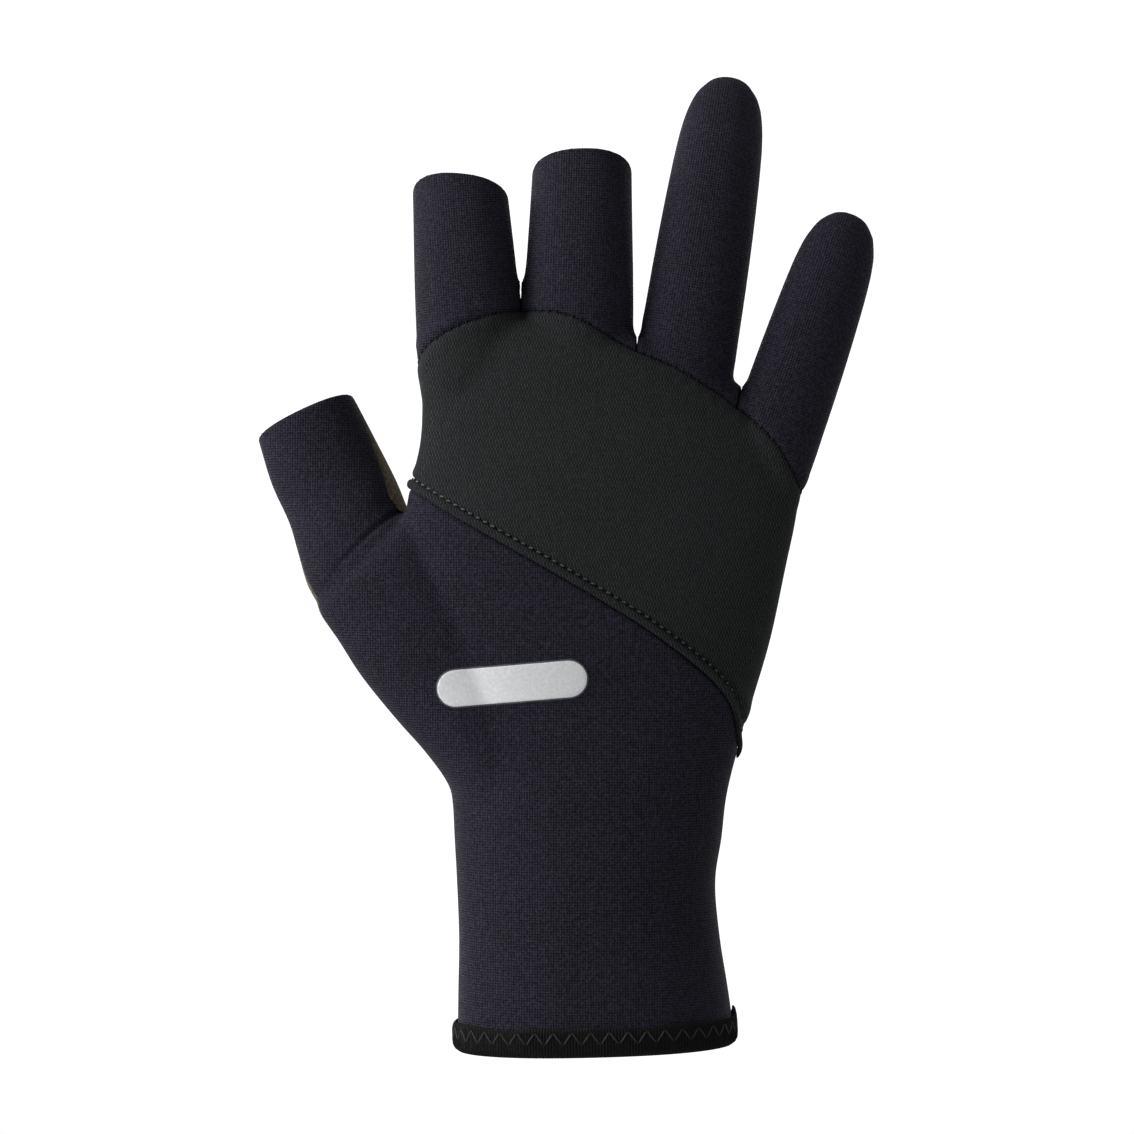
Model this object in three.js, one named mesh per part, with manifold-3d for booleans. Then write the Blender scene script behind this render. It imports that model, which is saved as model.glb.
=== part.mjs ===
// A right-hand fishing glove of laminated foam-rubber cloth, filled as if a hand were in it, fingers up.
// Thumb, index and middle finger are cut open for handling line; ring and little finger are closed.
// Millimetres and degrees. +Z runs to the fingertips, +X to the little finger and +Y to the palm, so the back of
// the hand faces -Y. The origin is the middle of the hem, where the wrist goes in.
// The skin is one set of lofts. Each sewn piece is that skin between two offsets, cut out along its seams.
import * as THREE from "three";
import { mergeVertices } from "three/addons/utils/BufferGeometryUtils.js";
import Module from "manifold-3d";

const wasm = await Module();
wasm.setup();

// Cloth and seams
const WALL = 2.5; // foam-rubber cloth
const SEAM_GAP = 0.3; // clearance between neighbouring pieces
const BINDING_CLOTH = 1; // knitted tape folded round the hem
const BINDING_HEIGHT = 6.5;
const FOLDED_EDGE_WIDTH = 3.2; // folded edge of the knuckle panel, along the diagonal seam
const FOLDED_EDGE_CLOTH = 1;
const PATCH_LENGTH = 37; // plain reflective transfer below the diagonal seam
const PATCH_HEIGHT = 9;
const PATCH_CLOTH = 0.5;
const PATCH_TURN = 5;

// The hand
const CUFF_LENGTH = 61; // hem to wrist crease
const WRIST_WIDTH = 65;
const WRIST_DEPTH = 47;
const PALM_LENGTH = 122; // wrist crease to the top of the knuckle seam
const PALM_WIDTH = 97;
const PALM_DEPTH = 38;
const HEM_SLOPE = 1.5; // the hem rises towards the little finger, in degrees
const CURL_RADIUS = 154; // the fingers bend to the palm on a curve of this radius
const CURL_START = 0.6; // share of the palm's length where they start to bend

// The digits. The lengths run from the root, inside the palm, to the end, as seen from the back.
const INDEX_LENGTH = 60.5;
const MIDDLE_LENGTH = 66.5;
const RING_LENGTH = 98;
const LITTLE_LENGTH = 82;
const INDEX_WIDTH = 25.6;
const MIDDLE_WIDTH = 26.6;
const RING_WIDTH = 24.2;
const LITTLE_WIDTH = 22.2;
const THUMB_DEPTH = 27;
const THUMB_TURN_BACK = 10; // how far the thumb points back, in degrees

const RING_SIDES = 28; // sides of a section of the hand
const DIGIT_SIDES = 16;
const BEYOND = 200; // how far the cutting shapes reach past the glove

// Sections of the hand from hem to knuckles, one row each. leftUp and rightUp are the heights of its two ends,
// left and right are their places, deep is its thickness and back is how far its middle lies to the palm.
// In the cuff they are shares of the cuff's length, the wrist's width and the wrist's depth.
const CUFF_SECTIONS = [
  { leftUp: -0.12, rightUp: -0.06, left: -0.538, right: 0.531, deep: 1.1, back: 0 },
  { leftUp: 0.07, rightUp: 0.11, left: -0.532, right: 0.522, deep: 1.09, back: 0 },
  { leftUp: 0.22, rightUp: 0.25, left: -0.53, right: 0.504, deep: 1.06, back: 0 },
  { leftUp: 0.43, rightUp: 0.44, left: -0.527, right: 0.476, deep: 1.03, back: 0.01 },
  { leftUp: 0.65, rightUp: 0.66, left: -0.535, right: 0.459, deep: 1, back: 0.02 },
  { leftUp: 0.84, rightUp: 0.84, left: -0.545, right: 0.484, deep: 0.97, back: 0.03 },
];
// In the palm they are shares of its length above the wrist crease, its width and its depth.
const PALM_SECTIONS = [
  { leftUp: 0.01, rightUp: 0.01, left: -0.373, right: 0.338, deep: 1.17, back: 0.05 },
  { leftUp: 0.1, rightUp: 0.11, left: -0.4, right: 0.37, deep: 1.14, back: 0.07 },
  { leftUp: 0.21, rightUp: 0.21, left: -0.445, right: 0.408, deep: 1.11, back: 0.08 },
  { leftUp: 0.35, rightUp: 0.33, left: -0.487, right: 0.452, deep: 1.05, back: 0.07 },
  { leftUp: 0.49, rightUp: 0.47, left: -0.505, right: 0.489, deep: 0.96, back: 0.05 },
  { leftUp: 0.615, rightUp: 0.585, left: -0.486, right: 0.518, deep: 0.86, back: 0.02 },
  { leftUp: 0.735, rightUp: 0.67, left: -0.453, right: 0.522, deep: 0.78, back: 0 },
  { leftUp: 0.83, rightUp: 0.735, left: -0.448, right: 0.496, deep: 0.72, back: 0 },
  { leftUp: 0.91, rightUp: 0.8, left: -0.43, right: 0.436, deep: 0.67, back: 0 },
  { leftUp: 0.955, rightUp: 0.86, left: -0.376, right: 0.344, deep: 0.61, back: 0 },
  { leftUp: 0.975, rightUp: 0.91, left: -0.27, right: 0.22, deep: 0.5, back: 0 },
];
// The ball of the thumb, from the wrist to the crease where the thumb bends back, in the palm's shares.
const THUMB_BALL_SECTIONS = [
  { leftUp: -0.06, rightUp: -0.05, left: -0.35, right: -0.1, deep: 0.9, back: 0.06 },
  { leftUp: 0.02, rightUp: 0.06, left: -0.376, right: -0.08, deep: 0.98, back: 0.08 },
  { leftUp: 0.09, rightUp: 0.18, left: -0.436, right: -0.1, deep: 1, back: 0.1 },
  { leftUp: 0.165, rightUp: 0.3, left: -0.52, right: -0.16, deep: 0.98, back: 0.12 },
  { leftUp: 0.25, rightUp: 0.42, left: -0.607, right: -0.25, deep: 0.92, back: 0.13 },
  { leftUp: 0.325, rightUp: 0.52, left: -0.668, right: -0.35, deep: 0.82, back: 0.14 },
  { leftUp: 0.39, rightUp: 0.585, left: -0.722, right: -0.42, deep: 0.74, back: 0.18 },
  { leftUp: 0.432, rightUp: 0.6, left: -0.71, right: -0.46, deep: 0.5, back: 0.2 },
];
// The thumb from inside its ball to the rim, in the palm's shares, and its thickness as a share of THUMB_DEPTH.
const THUMB_SECTIONS = [
  { leftUp: 0.33, rightUp: 0.45, left: -0.62, right: -0.4, deep: 0.8, back: 0.17 },
  { leftUp: 0.41, rightUp: 0.535, left: -0.731, right: -0.446, deep: 0.99, back: 0.21 },
  { leftUp: 0.491, rightUp: 0.589, left: -0.77, right: -0.485, deep: 0.98, back: 0.27 },
  { leftUp: 0.567, rightUp: 0.648, left: -0.8, right: -0.516, deep: 0.94, back: 0.34 },
  { leftUp: 0.644, rightUp: 0.728, left: -0.846, right: -0.567, deep: 0.9, back: 0.4 },
  { leftUp: 0.738, rightUp: 0.832, left: -0.883, right: -0.636, deep: 0.86, back: 0.46 },
];
// Fingers from the root, inside the palm, to the end: shares of their length and width, and of that width for
// their thickness.
const CUT_FINGER = [
  { along: 0, wide: 0.92, deep: 0.7, rim: 0 },
  { along: 0.2, wide: 1.05, deep: 0.84, rim: 0 },
  { along: 0.38, wide: 1.05, deep: 0.9, rim: 0 },
  { along: 0.6, wide: 1.025, deep: 0.92, rim: 0 },
  { along: 0.8, wide: 0.99, deep: 0.91, rim: 0.3 },
  { along: 1, wide: 0.96, deep: 0.9, rim: 1 },
];
const CLOSED_FINGER = [
  { along: 0, wide: 0.88, deep: 0.66, rim: 0 },
  { along: 0.17, wide: 1.02, deep: 0.84, rim: 0 },
  { along: 0.33, wide: 1.02, deep: 0.9, rim: 0 },
  { along: 0.52, wide: 1, deep: 0.92, rim: 0 },
  { along: 0.7, wide: 0.955, deep: 0.92, rim: 0 },
  { along: 0.83, wide: 0.892, deep: 0.92, rim: 0 },
  { along: 0.915, wide: 0.765, deep: 0.92, rim: 0 },
  { along: 0.965, wide: 0.56, deep: 0.92, rim: 0 },
  { along: 0.995, wide: 0.22, deep: 0.92, rim: 0 },
];
// Where each finger starts, in the palm's shares, how it leans from upright and how its end is turned on from
// square, in degrees. Rim is a section's share of that turn.
const DIGITS = [
  { name: "index", across: -0.309, up: 0.757, lean: -4.2, length: INDEX_LENGTH, width: INDEX_WIDTH,
    end: 10, rows: CUT_FINGER, open: true },
  { name: "middle", across: -0.053, up: 0.757, lean: 1.5, length: MIDDLE_LENGTH, width: MIDDLE_WIDTH,
    end: -3, rows: CUT_FINGER, open: true },
  { name: "ring", across: 0.193, up: 0.716, lean: 9.6, length: RING_LENGTH, width: RING_WIDTH,
    end: 0, rows: CLOSED_FINGER, open: false },
  { name: "little", across: 0.386, up: 0.573, lean: 19.5, length: LITTLE_LENGTH, width: LITTLE_WIDTH,
    end: 0, rows: CLOSED_FINGER, open: false },
];

// Seams on the back of the hand, from the thumb's side to the little finger's, in the palm's shares.
const KNUCKLE_SEAM = [
  { across: -0.62, up: 0.82 },
  { across: -0.48, up: 0.877 },
  { across: -0.435, up: 0.928 },
  { across: -0.32, up: 0.978 },
  { across: -0.19, up: 1 },
  { across: -0.06, up: 0.986 },
  { across: 0.08, up: 0.924 },
  { across: 0.21, up: 0.878 },
  { across: 0.34, up: 0.812 },
  { across: 0.45, up: 0.734 },
  { across: 0.515, up: 0.65 },
  { across: 0.6, up: 0.52 },
];
const DIAGONAL_SEAM = [
  { across: -0.485, up: 0.638 },
  { across: -0.387, up: 0.589 },
  { across: -0.253, up: 0.528 },
  { across: -0.124, up: 0.47 },
  { across: 0.026, up: 0.4 },
  { across: 0.139, up: 0.343 },
  { across: 0.258, up: 0.271 },
  { across: 0.326, up: 0.216 },
  { across: 0.352, up: 0.168 },
  { across: 0.362, up: 0.12 },
  { across: 0.385, up: 0.07 },
  { across: 0.46, up: 0.02 },
];
// The line between thumb and palm, from the wrist up, and on past the crotch beside the thumb.
const THUMB_DIVIDE = [
  { across: -0.2, up: -0.05 },
  { across: -0.42, up: 0.45 },
  { across: -0.497, up: 0.618 },
  { across: -0.53, up: 0.8 },
  { across: -0.62, up: 1.3 },
];
const PALM_WRIST_SEAM = [
  { across: -0.9, up: 0.17 },
  { across: -0.45, up: 0.07 },
  { across: 0, up: 0.05 },
  { across: 0.33, up: 0.09 },
  { across: 0.8, up: 0.2 },
];
// The crease where the thumb bends off its ball, from its outer side to the crotch.
const THUMB_CREASE = [
  { across: -0.86, up: 0.3 },
  { across: -0.715, up: 0.42 },
  { across: -0.647, up: 0.521 },
  { across: -0.56, up: 0.585 },
  { across: -0.49, up: 0.63 },
];
// The webs between the fingers, from index and middle to ring and little.
const WEBS = [
  { across: -0.193, up: 1.014, lean: -1.3 },
  { across: 0.106, up: 0.94, lean: 4.5 },
  { across: 0.366, up: 0.815, lean: 12.5 },
];
const PATCH_PLACE = { across: -0.214, up: 0.24 };
const PALM_SEAM_SHARE = 0.1; // the side seams lie this share of the palm's depth behind the middle
const FRONT_DROP = 2; // on the palm the fingers' pieces start this far below the knuckle seam
const THUMB_SEAM_TURN = 38; // how far the palm's cloth comes round the thumb's inner side, in degrees
const THUMB_SEAM_BACK = 25; // and how far behind the thumb's outer side it ends

const rad = THREE.MathUtils.degToRad;
const point = (x, y, z) => new THREE.Vector3(x, y, z);
const palmX = (across) => across * PALM_WIDTH;
const palmZ = (up) => CUFF_LENGTH + up * PALM_LENGTH;
const pastCurlStart = (z) => Math.max(0, z - palmZ(CURL_START));
const curlY = (z) => pastCurlStart(z) ** 2 / (2 * CURL_RADIUS);
const curlAngle = (z) => Math.atan(pastCurlStart(z) / CURL_RADIUS);

// Frames of sections: the middle, half the width and half the depth, as vectors. The ends left and right lie in
// the XZ plane, and line tells how far back the middle lies and how steeply the piece runs back there.
function sectionFrame(left, right, depth, line) {
  const middle = left.clone().add(right).multiplyScalar(0.5);
  const wide = right.clone().sub(left).multiplyScalar(0.5);
  const upward = point(-wide.z, 0, wide.x).normalize();
  const { y, angle } = line(middle.z);
  const deep = upward.multiplyScalar(-Math.sin(angle)).add(point(0, Math.cos(angle), 0));
  middle.y = y;
  return { middle, wide, deep: deep.multiplyScalar(depth / 2) };
}

function handFrame(row, height, width, depth, base) {
  const left = point(row.left * width, 0, base + row.leftUp * height);
  const right = point(row.right * width, 0, base + row.rightUp * height);
  const line = (z) => ({ y: curlY(z) + row.back * depth, angle: curlAngle(z) });
  return sectionFrame(left, right, row.deep * depth, line);
}

const palmFrame = (row) => handFrame(row, PALM_LENGTH, PALM_WIDTH, PALM_DEPTH, CUFF_LENGTH);

function fingerFrame(digit, row) {
  const [lean, square] = [rad(digit.lean), rad(digit.lean + row.rim * digit.end)];
  const [run, half] = [row.along * digit.length, (row.wide * digit.width) / 2];
  const middle = point(palmX(digit.across) + run * Math.sin(lean), 0, palmZ(digit.up) + run * Math.cos(lean));
  const side = point(Math.cos(square), 0, -Math.sin(square)).multiplyScalar(half);
  const line = (z) => ({ y: curlY(z), angle: curlAngle(z) });
  return sectionFrame(middle.clone().sub(side), middle.clone().add(side), 2 * half * row.deep, line);
}

function thumbFrame(row) {
  const left = point(palmX(row.left), 0, palmZ(row.leftUp));
  const right = point(palmX(row.right), 0, palmZ(row.rightUp));
  const line = () => ({ y: row.back * PALM_DEPTH, angle: rad(THUMB_TURN_BACK) });
  return sectionFrame(left, right, row.deep * THUMB_DEPTH, line);
}

const handFrames = [
  ...CUFF_SECTIONS.map((row) => handFrame(row, CUFF_LENGTH, WRIST_WIDTH, WRIST_DEPTH, 0)),
  ...PALM_SECTIONS.map(palmFrame),
];
const thumbBallFrames = THUMB_BALL_SECTIONS.map(palmFrame);
const fingerFrames = DIGITS.map((digit) => digit.rows.map((row) => fingerFrame(digit, row)));
const thumbFrames = THUMB_SECTIONS.map(thumbFrame);

// A point on a section: the rings are a little squarer than an ellipse.
const SQUARENESS = 2.25;
function ringPoint(frame, turn) {
  const bow = (v) => Math.sign(v) * Math.abs(v) ** (2 / SQUARENESS);
  return frame.middle.clone()
    .addScaledVector(frame.wide, bow(Math.cos(turn)))
    .addScaledVector(frame.deep, bow(Math.sin(turn)));
}

function solidOf(geometry) {
  const bare = geometry.index ? geometry.toNonIndexed() : geometry.clone();
  bare.deleteAttribute("normal");
  bare.deleteAttribute("uv");
  const merged = mergeVertices(bare, 1e-4);
  return new wasm.Manifold(new wasm.Mesh({
    numProp: 3,
    vertProperties: merged.attributes.position.array,
    triVerts: new Uint32Array(merged.index.array),
  }));
}

function geometryOf(solid) {
  const mesh = solid.getMesh();
  const geometry = new THREE.BufferGeometry()
    .setAttribute("position", new THREE.BufferAttribute(new Float32Array(mesh.vertProperties), 3))
    .setIndex(new THREE.BufferAttribute(new Uint32Array(mesh.triVerts), 1));
  geometry.computeVertexNormals();
  return geometry;
}

// A closed loft through the frames, moved out along its own normals by offset. A positive past carries its far
// end on by that much, so that an inner skin cuts through the rim of a digit that is open.
function loft(frames, sides, offset, past) {
  const turns = Array.from({ length: sides }, (_, j) => (2 * Math.PI * j) / sides);
  const rings = frames.map((frame) => turns.map((turn) => ringPoint(frame, turn)));
  const last = rings.length - 1;
  const moved = rings.map((ring, i) => ring.map((p, j) => {
    const along = rings[Math.min(i + 1, last)][j].clone().sub(rings[Math.max(i - 1, 0)][j]);
    const around = ring[(j + 1) % sides].clone().sub(ring[(j + sides - 1) % sides]);
    return p.clone().addScaledVector(around.cross(along).normalize(), offset);
  }));
  if (past) {
    const ahead = frames[last].middle.clone().sub(frames[last - 1].middle).setLength(past);
    moved.push(moved[last].map((p) => p.clone().add(ahead)));
  }
  const points = moved.flat();
  const hub = (ring) => ring.reduce((sum, p) => sum.add(p), point(0, 0, 0)).divideScalar(sides);
  points.push(hub(moved[0]), hub(moved[moved.length - 1]));
  const faces = [];
  for (let i = 0; i < moved.length - 1; i++) {
    for (let j = 0; j < sides; j++) {
      const [a, b] = [i * sides + j, i * sides + ((j + 1) % sides)];
      faces.push(a, b, b + sides, a, b + sides, a + sides);
    }
  }
  for (let j = 0; j < sides; j++) {
    const top = (moved.length - 1) * sides;
    faces.push((j + 1) % sides, j, points.length - 2);
    faces.push(top + j, top + ((j + 1) % sides), points.length - 1);
  }
  return solidOf(new THREE.BufferGeometry().setFromPoints(points).setIndex(faces));
}

// The whole skin as one solid, moved out by offset. The inner skins pass the open rims.
function skin(offset) {
  const past = (open) => (open && offset < 0 ? 2 * WALL : 0);
  const digits = [
    loft(thumbFrames, DIGIT_SIDES, offset, past(true)),
    ...fingerFrames.map((frames, i) => loft(frames, DIGIT_SIDES, offset, past(DIGITS[i].open))),
  ];
  return [
    loft(handFrames, RING_SIDES, offset, 0),
    loft(thumbBallFrames, DIGIT_SIDES, offset, 0),
    ...digits,
  ].reduce((whole, solid) => whole.add(solid));
}

// Cutting shapes. A prism has its outline in the XZ plane and runs through the glove along Y.
function prism(outline) {
  const shape = new THREE.Shape(outline.map((p) => new THREE.Vector2(p.x, p.z)));
  const geometry = new THREE.ExtrudeGeometry(shape, { depth: 2 * BEYOND, bevelEnabled: false });
  return solidOf(geometry.rotateX(Math.PI / 2).translate(0, BEYOND, 0));
}

// A seam's points in the XZ plane, smoothed, and moved to its left by aside, seen along its way.
const SEAM_STEPS = 16;
function seamLine(rows, aside, steps = SEAM_STEPS) {
  const curve = new THREE.CatmullRomCurve3(rows.map((row) => point(palmX(row.across), 0, palmZ(row.up))));
  return Array.from({ length: steps + 1 }, (_, i) => {
    const way = curve.getTangent(i / steps);
    return curve.getPoint(i / steps).add(point(-way.z, 0, way.x).setLength(aside));
  });
}

// All that lies above a line which runs from left to right.
function above(line) {
  const [first, last] = [line[0], line[line.length - 1]];
  return prism([
    point(-BEYOND, 0, first.z), ...line, point(BEYOND, 0, last.z),
    point(BEYOND, 0, 2 * BEYOND), point(-BEYOND, 0, 2 * BEYOND),
  ]);
}

// All that lies to the right of a line which runs upwards.
function rightOf(line) {
  const [first, last] = [line[0], line[line.length - 1]];
  return prism([
    point(BEYOND, 0, -BEYOND), point(BEYOND, 0, 2 * BEYOND), point(last.x, 0, 2 * BEYOND),
    ...[...line].reverse(), point(first.x, 0, -BEYOND),
  ]);
}

// All that lies behind the side seams of the hand and fingers, which follow the bend of the fingers.
const CURL_STEPS = 12;
function behindSideSeams(grow) {
  const top = palmZ(0.6) + INDEX_LENGTH + RING_LENGTH;
  const seamY = (z) => curlY(z) + PALM_SEAM_SHARE * PALM_DEPTH - grow / Math.cos(curlAngle(z));
  const start = palmZ(CURL_START);
  const line = Array.from({ length: CURL_STEPS + 1 }, (_, i) => start + ((top - start) * i) / CURL_STEPS)
    .map((z) => new THREE.Vector2(seamY(z), z));
  const shape = new THREE.Shape([
    new THREE.Vector2(seamY(0), -BEYOND), new THREE.Vector2(BEYOND, -BEYOND),
    new THREE.Vector2(BEYOND, top), ...line.reverse(),
  ]);
  const geometry = new THREE.ExtrudeGeometry(shape, { depth: 2 * BEYOND, bevelEnabled: false });
  // The outline's first axis is Y and its second Z, so the prism's own axis becomes X.
  const turn = new THREE.Matrix4().makeBasis(point(0, 1, 0), point(0, 0, 1), point(1, 0, 0));
  return solidOf(geometry.applyMatrix4(turn).translate(-BEYOND, 0, 0));
}

// All that lies behind the thumb's side seams: a plane through three points of its surface.
function behindThumbSeams(grow) {
  const [root, end] = [thumbFrames[2], thumbFrames[thumbFrames.length - 1]];
  const inner = ringPoint(end, 0);
  const innerRoot = ringPoint(root, -rad(THUMB_SEAM_TURN));
  const outer = ringPoint(end, Math.PI - rad(THUMB_SEAM_BACK));
  const normal = innerRoot.clone().sub(inner).cross(outer.clone().sub(inner)).normalize();
  normal.multiplyScalar(Math.sign(normal.y));
  const half = new THREE.BoxGeometry(2 * BEYOND, 2 * BEYOND, 2 * BEYOND).translate(0, 0, BEYOND);
  half.applyQuaternion(new THREE.Quaternion().setFromUnitVectors(point(0, 0, 1), normal));
  const at = inner.addScaledVector(normal, -grow);
  return solidOf(half.translate(at.x, at.y, at.z));
}

// The palm's side of all side seams. A positive grow moves the seams towards the back of the hand.
function palmSide(grow) {
  const sides = behindSideSeams(grow);
  const right = sides.intersect(rightOf(seamLine(THUMB_DIVIDE, 0)));
  return sides.intersect(behindThumbSeams(grow)).subtract(rightOf(seamLine(THUMB_DIVIDE, 0))).add(right);
}

// The hem's plane, lifted by up.
function aboveHem(up) {
  const rise = Math.tan(rad(HEM_SLOPE)) * BEYOND;
  return above([point(-BEYOND, 0, up - rise), point(BEYOND, 0, up + rise)]);
}

// Between the webs on both sides of a finger.
function betweenWebs(index) {
  const line = (web, aside) => {
    const [x, z, lean] = [palmX(web.across), palmZ(web.up), rad(web.lean)];
    return [-0.5, 1].map((t) => point(
      x + aside + t * PALM_LENGTH * Math.sin(lean), 0, z + t * PALM_LENGTH * Math.cos(lean)));
  };
  const half = SEAM_GAP / 2;
  const right = WEBS[index] && rightOf(line(WEBS[index], -half));
  const left = index > 0 && rightOf(line(WEBS[index - 1], half));
  return (solid) => {
    const inside = left ? solid.intersect(left) : solid;
    return right ? inside.subtract(right) : inside;
  };
}

const HEM_LAP = BINDING_CLOTH + SEAM_GAP; // the hem's edge lies this far inside the fold of the binding
const half = SEAM_GAP / 2;
const innerSkin = skin(-WALL);
const cloth = skin(0).subtract(innerSkin).intersect(aboveHem(HEM_LAP));
const backOfHand = cloth.subtract(palmSide(SEAM_GAP));
const aboveKnuckleSeam = above(seamLine(KNUCKLE_SEAM, half));
const belowKnuckleSeam = above(seamLine(KNUCKLE_SEAM, -half));
// The knuckle panel ends at the diagonal seam, and at the line between thumb and palm.
const palmField = (aside) => above(seamLine(DIAGONAL_SEAM, aside)).intersect(rightOf(seamLine(THUMB_DIVIDE, -aside)));

const aboveWrist = above(seamLine(PALM_WRIST_SEAM, half));
const besideThumb = rightOf(seamLine(THUMB_DIVIDE, -half));
const fingerBacks = DIGITS.map((_, i) =>
  betweenWebs(i)(backOfHand.intersect(aboveKnuckleSeam).intersect(besideThumb)));
const knucklePanel = backOfHand.intersect(palmField(half)).subtract(belowKnuckleSeam);

// The navy cloth below the diagonal seam is one cut piece, and so is the suede of the palm. Here the cuff, the
// thumb and the fingers are pieces of their own, so that each piece bends around one hollow only.
const thumbField = (aside) => above(seamLine(THUMB_CREASE, aside)).subtract(rightOf(seamLine(THUMB_DIVIDE, 0)));
const navyBack = backOfHand.subtract(palmField(-half)).intersect(aboveWrist);
const cuffSleeve = cloth.subtract(above(seamLine(PALM_WRIST_SEAM, -half)));
const thumbBack = navyBack.intersect(thumbField(half));
const handPanel = navyBack.subtract(thumbField(-half));
const suede = cloth.intersect(palmSide(0)).intersect(aboveWrist);
const fingerFronts = DIGITS.map((_, i) =>
  betweenWebs(i)(suede.intersect(above(seamLine(KNUCKLE_SEAM, half - FRONT_DROP))).intersect(besideThumb)));
const thumbFront = suede.intersect(thumbField(half));
const palmPanel = suede
  .subtract(thumbField(-half))
  .subtract(above(seamLine(KNUCKLE_SEAM, -half - FRONT_DROP)).intersect(rightOf(seamLine(THUMB_DIVIDE, 0))));

// The tape is folded round the hem: its outer and inner faces, less the cloth and its clearance.
const clothRoom = skin(SEAM_GAP).subtract(skin(-WALL - SEAM_GAP)).intersect(aboveHem(BINDING_CLOTH));
const binding = skin(SEAM_GAP + BINDING_CLOTH)
  .subtract(skin(-WALL - SEAM_GAP - BINDING_CLOTH))
  .intersect(aboveHem(0)).subtract(aboveHem(BINDING_HEIGHT))
  .subtract(clothRoom);

// A layer that lies on the skin, with its clearance to it.
const layer = (thickness) => skin(SEAM_GAP + thickness).subtract(skin(SEAM_GAP));
const foldedEdge = layer(FOLDED_EDGE_CLOTH)
  .intersect(palmField(-SEAM_GAP))
  .subtract(above(seamLine(DIAGONAL_SEAM, FOLDED_EDGE_WIDTH)))
  .subtract(palmSide(SEAM_GAP));

function patchOutline() {
  const [length, round, turn] = [PATCH_LENGTH / 2, PATCH_HEIGHT / 2, rad(PATCH_TURN)];
  const shape = new THREE.Shape()
    .moveTo(round - length, -round).lineTo(length - round, -round)
    .absarc(length - round, 0, round, -Math.PI / 2, Math.PI / 2)
    .lineTo(round - length, round)
    .absarc(round - length, 0, round, Math.PI / 2, (3 * Math.PI) / 2);
  return shape.getPoints(5).map((p) => point(
    palmX(PATCH_PLACE.across) + p.x * Math.cos(turn) - p.y * Math.sin(turn), 0,
    palmZ(PATCH_PLACE.up) + p.x * Math.sin(turn) + p.y * Math.cos(turn)));
}
const patch = layer(PATCH_CLOTH).intersect(prism(patchOutline())).subtract(palmSide(SEAM_GAP));

const NAVY = { color: 0x23222b, roughness: 0.85, metalness: 0 };
const CHARCOAL = { color: 0x272828, roughness: 0.9, metalness: 0 };
const SUEDE = { color: 0x4b4640, roughness: 0.95, metalness: 0 };
const TAPE = { color: 0x191817, roughness: 0.9, metalness: 0 };
const REFLECTIVE = { color: 0xe8eaea, roughness: 0.45, metalness: 0 };

function piece(name, solid, look) {
  const mesh = new THREE.Mesh(geometryOf(solid), new THREE.MeshStandardMaterial(look));
  mesh.name = name;
  return mesh;
}

const glove = new THREE.Group();
glove.add(
  piece("cuff_sleeve", cuffSleeve, NAVY),
  piece("hand_panel", handPanel, NAVY),
  piece("thumb_back", thumbBack, NAVY),
  piece("knuckle_panel", knucklePanel, CHARCOAL),
  piece("palm_panel", palmPanel, SUEDE),
  piece("thumb_front", thumbFront, SUEDE),
  ...DIGITS.map((digit, i) => piece(digit.name + "_front", fingerFronts[i], SUEDE)),
  ...DIGITS.map((digit, i) => piece(digit.name + "_back", fingerBacks[i], NAVY)),
  piece("cuff_binding", binding, TAPE),
  piece("folded_edge", foldedEdge, CHARCOAL),
  piece("reflective_patch", patch, REFLECTIVE),
);

export default glove;
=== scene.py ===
# A right-hand fishing glove of laminated foam-rubber cloth, seen from the back of the hand, fingers up.
# One skin is modelled from tubes for the hand and its digits. Each panel is cut out of that skin along its seams,
# rolled in at its edges and given the thickness of the cloth. Tape, folded edge, stitches and patch lie on it.
import math
from collections import namedtuple

import bmesh
import bpy
import numpy as np
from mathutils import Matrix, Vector
from mathutils.bvhtree import BVHTree
from mathutils.kdtree import KDTree


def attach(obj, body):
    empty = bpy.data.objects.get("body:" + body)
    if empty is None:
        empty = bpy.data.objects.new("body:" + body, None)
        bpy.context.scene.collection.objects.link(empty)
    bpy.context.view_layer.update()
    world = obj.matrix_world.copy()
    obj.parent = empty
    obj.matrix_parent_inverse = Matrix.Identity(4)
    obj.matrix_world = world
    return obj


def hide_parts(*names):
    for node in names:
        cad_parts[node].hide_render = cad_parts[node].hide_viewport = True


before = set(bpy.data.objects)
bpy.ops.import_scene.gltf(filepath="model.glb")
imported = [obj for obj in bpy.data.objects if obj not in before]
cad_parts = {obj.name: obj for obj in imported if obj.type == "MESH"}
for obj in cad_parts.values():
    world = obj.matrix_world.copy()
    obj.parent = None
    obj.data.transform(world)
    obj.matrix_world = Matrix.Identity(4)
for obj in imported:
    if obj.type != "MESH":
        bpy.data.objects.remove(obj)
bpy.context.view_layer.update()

MM = 0.001

# Sizes in millimetres, as in the CAD model
WALL = 2.5
CUFF_LENGTH = 61
WRIST_WIDTH = 65
WRIST_DEPTH = 47
PALM_LENGTH = 122
PALM_WIDTH = 97
PALM_DEPTH = 38
HEM_SLOPE = 1.5
CURL_RADIUS = 154
CURL_START = 0.6
THUMB_DEPTH = 27
THUMB_TURN_BACK = 10
BINDING_CLOTH = 1
SEAM_GAP = 0.3
STITCH = 2.2
ZIGZAG = 4.4
RIB = 0.75
PATCH_LENGTH = 37
PATCH_HEIGHT = 9
PATCH_TURN = 5
SQUARENESS = 2.25

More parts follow.
